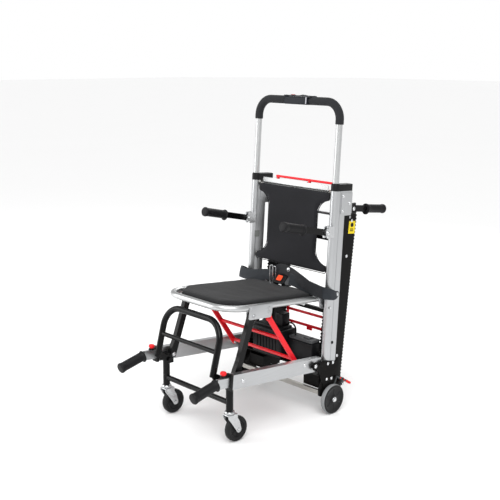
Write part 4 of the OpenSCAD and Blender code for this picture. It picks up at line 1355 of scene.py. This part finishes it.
farRoute = [((-243, 38, 50), 22, (0, -0.3, 1)), ((-250, 26, 53), 34, (0, -0.25, 1)),
            ((-259, 6, 61), 45, (0, -0.15, 1)), ((-260, -18, 68), 46, (0.15, 0, 1)),
            ((-243, -38, 70), 46, (0.1, 0.2, 1)), ((-208, -44, 69), 46, (-0.1, 0.25, 1)),
            ((-172, -42, 70), 46, (-0.2, 0.2, 1)), ((-130, -38, 76), 47, (-0.25, 0.15, 1)),
            ((-90, -34, 84), 47, (-0.25, 0.1, 1)), ((-56, -32, 90), 44, (-0.2, 0.1, 1))]
belt = {"padThick": 0.0055, "padEdge": 0.0018, "crown": 0.0012, "webThick": 0.0022, "webWide": 0.044,
        "foldFrom": 0.235, "foldTo": 0.165, "tabFace": 0.2440}


def wireLoop(name, width, height, radius, matrix):
    loop = piping(name, roundOutline(width, height, width * 0.46, 8), 0, radius)
    return settle(loop, matrix)


def addBelt():
    b = belt
    near = strap("beltNear", nearRoute, b["padThick"], 90, 10, b["padEdge"], b["crown"])[0]
    far = strap("beltFar", farRoute, b["padThick"], 100, 10, b["padEdge"], b["crown"])[0]
    rising, risingLength = strap("beltRising", risingRoute, b["webThick"], 90, 8)
    for piece, sign in ((near, 1), (rising, 1), (far, -1)):
        piece.data.materials.append(padStrapCloth if piece is not rising else beltCloth)
        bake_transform(piece)
        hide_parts("seat_belt")
    for s, label in ((1, "Near"), (-1, "Far")):
        place = seatPivot + Vector((s * b["tabFace"], *boltPlaces["belt"]))
        tab = platePiece("beltTab" + label, capsule((0, 0), (-0.020, 0.003), 0.025), 0.0022, 0.0006)
        settle(tab, acrossX(place.x - 0.0011, place.y, place.z))
        finishWith(tab, blackCoat, "frame")


# the buckle with its button and tongue, and the wire loops that the straps run through
buckle = {"width": 0.064, "height": 0.048, "low": -0.009, "high": 0.0085, "wires": 2}


def addBuckle():
    b = buckle
    low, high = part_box("buckle_button")
    press = axisOf("buckle_press")
    turn = planeAt((high + low) / 2 + press * 0.0095, -press)
    body = platePiece("buckleBody", roundOutline(b["width"], b["height"], 0.009), b["high"] - b["low"])
    settle(body, Matrix.Translation((0, 0, b["low"])))
    roundTop(body, 0.0035)
    rim = platePiece("buckleRim", roundOutline(0.0335, 0.0315, 0.0055), 0.0016)
    recessTop(rim, 0.0026, 0.0022)
    settle(rim, Matrix.Translation((0, 0, b["high"] - 0.0002)))
    body = settle(joined("buckleBody", [body, rim]), turn)
    finishWith(body, blackPlastic, "seat")
    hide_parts("belt_buckle")
    cap = platePiece("buckleButtonCap", roundOutline(0.0268, 0.0248, 0.004), 0.0050)
    pickFaces(cap, (0, 0, 1))
    bpy.ops.mesh.inset(thickness=0.0016, depth=0.0)
    bpy.ops.transform.translate(value=(0, 0, 0.0008))
    bpy.ops.mesh.inset(thickness=0.0035, depth=-0.0008)
    bpy.ops.object.mode_set(mode="OBJECT")
    applyModifier(cap, "BEVEL", width=0.0004, segments=2, limit_method="ANGLE", angle_limit=radians(30))
    smooth(cap)
    settle(cap, turn @ Matrix.Translation((0, 0, 0.0066)))
    finishWith(cap, orangePlastic, "buckle_button")
    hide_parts("buckle_button")
    tongue = platePiece("buckleTongue", roundOutline(0.034, 0.042, 0.008), 0.010, 0.0028, 4)
    settle(tongue, turn @ Matrix.Translation((0.0530, 0, -0.0045)))
    finishWith(tongue, greyPlastic, "seat")
    plate = platePiece("tonguePlate", roundOutline(0.030, 0.026, 0.003), 0.0022, 0.0004)
    settle(plate, turn @ Matrix.Translation((0.034, 0, 0.0002)))
    bar = blockPiece("beltBar", (0.010, -0.029, 0.001), (0.026, -0.0245, 0.007), 0.0015, 3)
    settle(bar, turn)
    place = seatPivot + Vector((0.040, -0.0335, 0.128))
    rivet = copyOf(models["medium"], "beltRivet", towards(place, (0.1, -1, 0.1)))
    loops = []
    top, foot = Vector((-0.047, -0.034, 0.128)), Vector((-0.060, -0.044, 0.056))
    along = (top - foot).normalized()
    across = Vector((0.75, 0.45, 0)).normalized()
    for i in range(b["wires"]):
        middle = seatPivot + (top + foot) / 2 + Vector((0.011 * i, 0.004 * i, -0.004 * i))
        plane = planeAt(middle, across.cross(along), across)
        loops.append(wireLoop("beltWire", 0.014, 0.078, 0.0016, plane))
    wires = joined("beltWires", loops + [plate, bar, rivet])
    smooth(wires, 50)
    finishWith(wires, boltSteel, "seat")


addBelt()
addBuckle()
print("lap belt is threaded")


# small trim: a label on the left track and a blank patch on the right upright
trim = {"label": (0.0165, 0.627), "labelSize": (0.040, 0.052), "bars": (-0.016, -0.009), "dot": 0.009,
        "patch": (0.004, 0.180), "patchSize": (0.027, 0.028), "patchFace": 0.017}


def addTrim():
    plate = trackFrame @ acrossX(boltFaces["track"])
    label = platePiece("trackLabel", roundOutline(*trim["labelSize"], 0.003), 0.0006, 0.0002, 1)
    settle(label, plate @ Matrix.Translation((*trim["label"], 0)))
    finishWith(label, labelFilm, "tracks")
    printed = [blockPiece("labelBar", (-0.010, y, 0), (0.010, y + 0.004, 0.0003), 0.0001, 1)
               for y in trim["bars"]]
    dot = turnedPiece("labelDot", [(0, 0), (trim["dot"], 0), (trim["dot"], 0.0003), (0, 0.0003)], 32)
    printed.append(settle(dot, Matrix.Translation((0, 0.010, 0)) @ Matrix.Rotation(pi / 2, 4, "Z")))
    mark = settle(joined("trackLabelMark", printed), plate @ Matrix.Translation((*trim["label"], 0.0005)))
    finishWith(mark, labelInk, "tracks")
    patch = platePiece("uprightPatch", roundOutline(*trim["patchSize"], 0.002), 0.0008, 0.0002, 1)
    settle(patch, leanFrame @ acrossX(-uprightX + trim["patchFace"], *trim["patch"]))
    finishWith(patch, patchFilm, "frame")


addTrim()
print("trim is on")


# plates that carry the seat, with their hinge tabs and the pins of the links
seatPlate = {"inner": 0.1985, "outer": 0.2025, "rear": -0.289, "front": -0.409, "low": -0.014,
             "high": 0.040, "corner": 0.007, "edge": 0.0008}


def addSeatPlates():
    p = seatPlate
    low, high, front, rear = p["low"], p["high"], p["front"], p["rear"]
    linkY = -(railPivot - legPivot).length
    main = [(front, low), (rear - 0.004, low), (rear, 0.010), (rear, high), (front, high)]
    hinge = [(-0.030, 0.042), (-0.016, -0.010), (0.016, -0.010), (0.024, 0.020), (0.024, 0.042)]
    spots = ((linkY, 0.0, "medium"), (rear - 0.016, 0.008, "small"), (rear - 0.018, 0.024, "small"),
             (front + 0.010, 0.030, "small"), (-0.020, 0.0305, "small"), (0.014, 0.0305, "small"))
    shapes = (("seatPlate", filleted(main, (p["corner"],) * 5)),
              ("hingePlate", filleted(hinge, (0.004, 0.012, 0.012, 0.006, 0.004))))
    parts = []
    for s in (1, -1):
        place = seatFrame @ acrossX(p["inner"] if s > 0 else -p["outer"])
        for name, shape in shapes:
            parts.append(settle(platePiece(name, shape, p["outer"] - p["inner"], p["edge"]), place))
        pin = turnedPiece("linkPin", [(0, 0.168), (0.009, 0.168), (0.009, 0.173), (0.005, 0.173),
                                      (0.005, 0.1995), (0, 0.1995)], 32, 0.0006)
        across = Matrix(((0, 0, s, 0), (1, 0, 0, linkY), (0, s, 0, 0), (0, 0, 0, 1)))
        parts.append(settle(pin, seatFrame @ across))
        for y, z, kind in spots:
            place = seatFrame @ Vector((s * (p["outer"] - 0.0002), y, z))
            parts.append(copyOf(models[kind], "seatBolt", towards(place, (s, 0, 0))))
    plates = joined("seatPlates", parts)
    finishWith(plates, aluminiumRail, "seat")
    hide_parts("seat_brackets")


# plates that carry the rear wheels, outlined from the rail pivot in mm
wheelPlate = {"inner": 0.242, "lobe": 0.0170, "edge": 0.0008}


def addWheelPlates():
    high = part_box("rear_plates")[1]
    around = [(30.0, -50.0), (50.0, -98.0), (70.0, -176.0), (106.4, -178.0), (158.0, -124.0),
              (157.0, -90.0), (139.4, 7.6), (121.4, -5.4), (45.4, 13.6), (25.0, 5.0)]
    radii = (0.030, 0.040, 0.012, 0.016, 0.014, 0.014, 0.004, 0.003, 0.008, 0.010)
    corners = filleted([(y * mm, z * mm) for y, z in around], radii, 8)
    outline = arcPoints((0, 0), wheelPlate["lobe"], 75, 300, 20) + corners
    thick = high.x - wheelPlate["inner"]
    for label, x in (("Left", wheelPlate["inner"]), ("Right", -high.x)):
        plate = platePiece("wheelPlate" + label, outline, thick, wheelPlate["edge"])
        settle(plate, acrossX(x, railPivot.y, railPivot.z))
        finishWith(plate, blackPlateCoat, "frame")
        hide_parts("rear_plates")


# ribbed bar across the base, with a black bracket at each end
crossbar = {"half": 0.232, "front": 0.007, "back": 0.019, "low": 0.006, "high": 0.024, "ribs": 4,
            "groove": 0.0021, "deep": 0.0016,
            "bracket": ((0, 2), (28, 0), (74, 56), (78, 82), (24, 82), (0, 34)),
            "corners": (0.008, 0.010, 0.012, 0.004, 0.004, 0.012)}


def addCrossbar():
    c = crossbar
    low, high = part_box("ribbed_crossbar")
    front, back, deep = c["front"], c["back"], c["front"] + c["deep"]
    outline = [(front, c["high"]), (back, c["high"]), (back, c["low"]), (front, c["low"])]
    step = (c["high"] - c["low"]) / c["ribs"]
    for i in range(c["ribs"]):
        z = c["low"] + step * (i + 0.5)
        foot, top = z - c["groove"] / 2, z + c["groove"] / 2
        outline += [(front, foot), (deep, foot), (deep, top), (front, top)]
    bar = platePiece("ribbedBar", outline, c["half"] * 2, 0.0003, 1)
    settle(bar, acrossX(-c["half"], low.y, low.z))
    finishWith(bar, aluminiumCross, "frame")
    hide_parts("ribbed_crossbar")
    shape = filleted([(y * mm, z * mm) for y, z in c["bracket"]], c["corners"])
    thick = high.x - c["half"]
    for label, x in (("Left", c["half"]), ("Right", -high.x)):
        bracket = platePiece("barBracket" + label, shape, thick, 0.0008)
        settle(bracket, acrossX(x, low.y, low.z))
        finishWith(bracket, blackPlateCoat, "frame")
        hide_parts("ribbed_crossbar")


addSeatPlates()
addWheelPlates()
addCrossbar()
print("seat and wheel plates are on")


# the silver angle behind the panel's top edge, under the red bar
topRail = {"low": 0.398, "front": 0.0062, "thick": 0.0018, "half": 0.186, "gap": 0.0100}


def addTopRail():
    t = topRail
    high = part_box("release_bar")[1]
    barCentre = leanFrame.inverted() @ Vector((0, high.y - 0.0059, high.z - 0.005))
    face = blockPiece("topRail", (-t["half"], t["front"] - t["thick"], t["low"]),
                      (t["half"], t["front"], barCentre.z - t["gap"]), 0.0006, 2)
    settle(face, leanFrame)
    finishWith(face, aluminiumTube, "frame")


addTopRail()
dropModels()
print("top rail is on, and the bolt models are cleared away")


# floor and light; each lamp has a place, the height it looks at, a size and a power
studio = {"floorSize": 90.0, "worldStrength": 0.55, "sunStrength": 1.95, "sunAngle": 55.0,
          "sunFrom": (1.6, -1.6, 3.2),
          "lamps": (("key", (2.6, -2.2, 3.2), 0.5, 2.0, 40.0), ("fill", (-2.6, -2.8, 1.7), 0.6, 2.6, 60.0),
                    ("rim", (-1.2, 2.6, 2.6), 0.7, 1.8, 30.0))}


def aim(light, place, target):
    light.rotation_euler = (Vector(target) - Vector(place)).to_track_quat("-Z", "Y").to_euler()


def addLight(name, place, height, size, power):
    bpy.ops.object.light_add(type="AREA", location=place)
    light = bpy.context.object
    light.name = name
    light.data.size = size
    light.data.energy = power
    aim(light, place, (0, 0, height))


def addStudio():
    deselectAll()
    bpy.ops.mesh.primitive_plane_add(size=studio["floorSize"], location=(0, 0, -0.0005))
    floor = newPiece("floor")
    floor.data.materials.append(floorPaint)
    world = bpy.data.worlds.new("studio")
    world.use_nodes = True
    tree = world.node_tree
    background = tree.nodes["Background"]
    background.inputs["Color"].default_value = (1, 1, 1, 1)
    seen = tree.nodes.new("ShaderNodeLightPath")      # the backdrop is white, and lights less than it shows
    strength = mapRange(tree, seen.outputs["Is Camera Ray"], 0, 1, studio["worldStrength"], 1.0)
    tree.links.new(strength, background.inputs["Strength"])
    bpy.context.scene.world = world
    bpy.context.scene.view_settings.view_transform = "Standard"
    bpy.ops.object.light_add(type="SUN", location=(2, -1, 4))
    sun = bpy.context.object
    sun.name = "skylight"
    sun.data.energy = studio["sunStrength"]
    sun.data.angle = radians(studio["sunAngle"])
    aim(sun, studio["sunFrom"], (0, 0, 0))
    for lamp in studio["lamps"]:
        addLight(*lamp)


addStudio()
print("floor and lights are set")
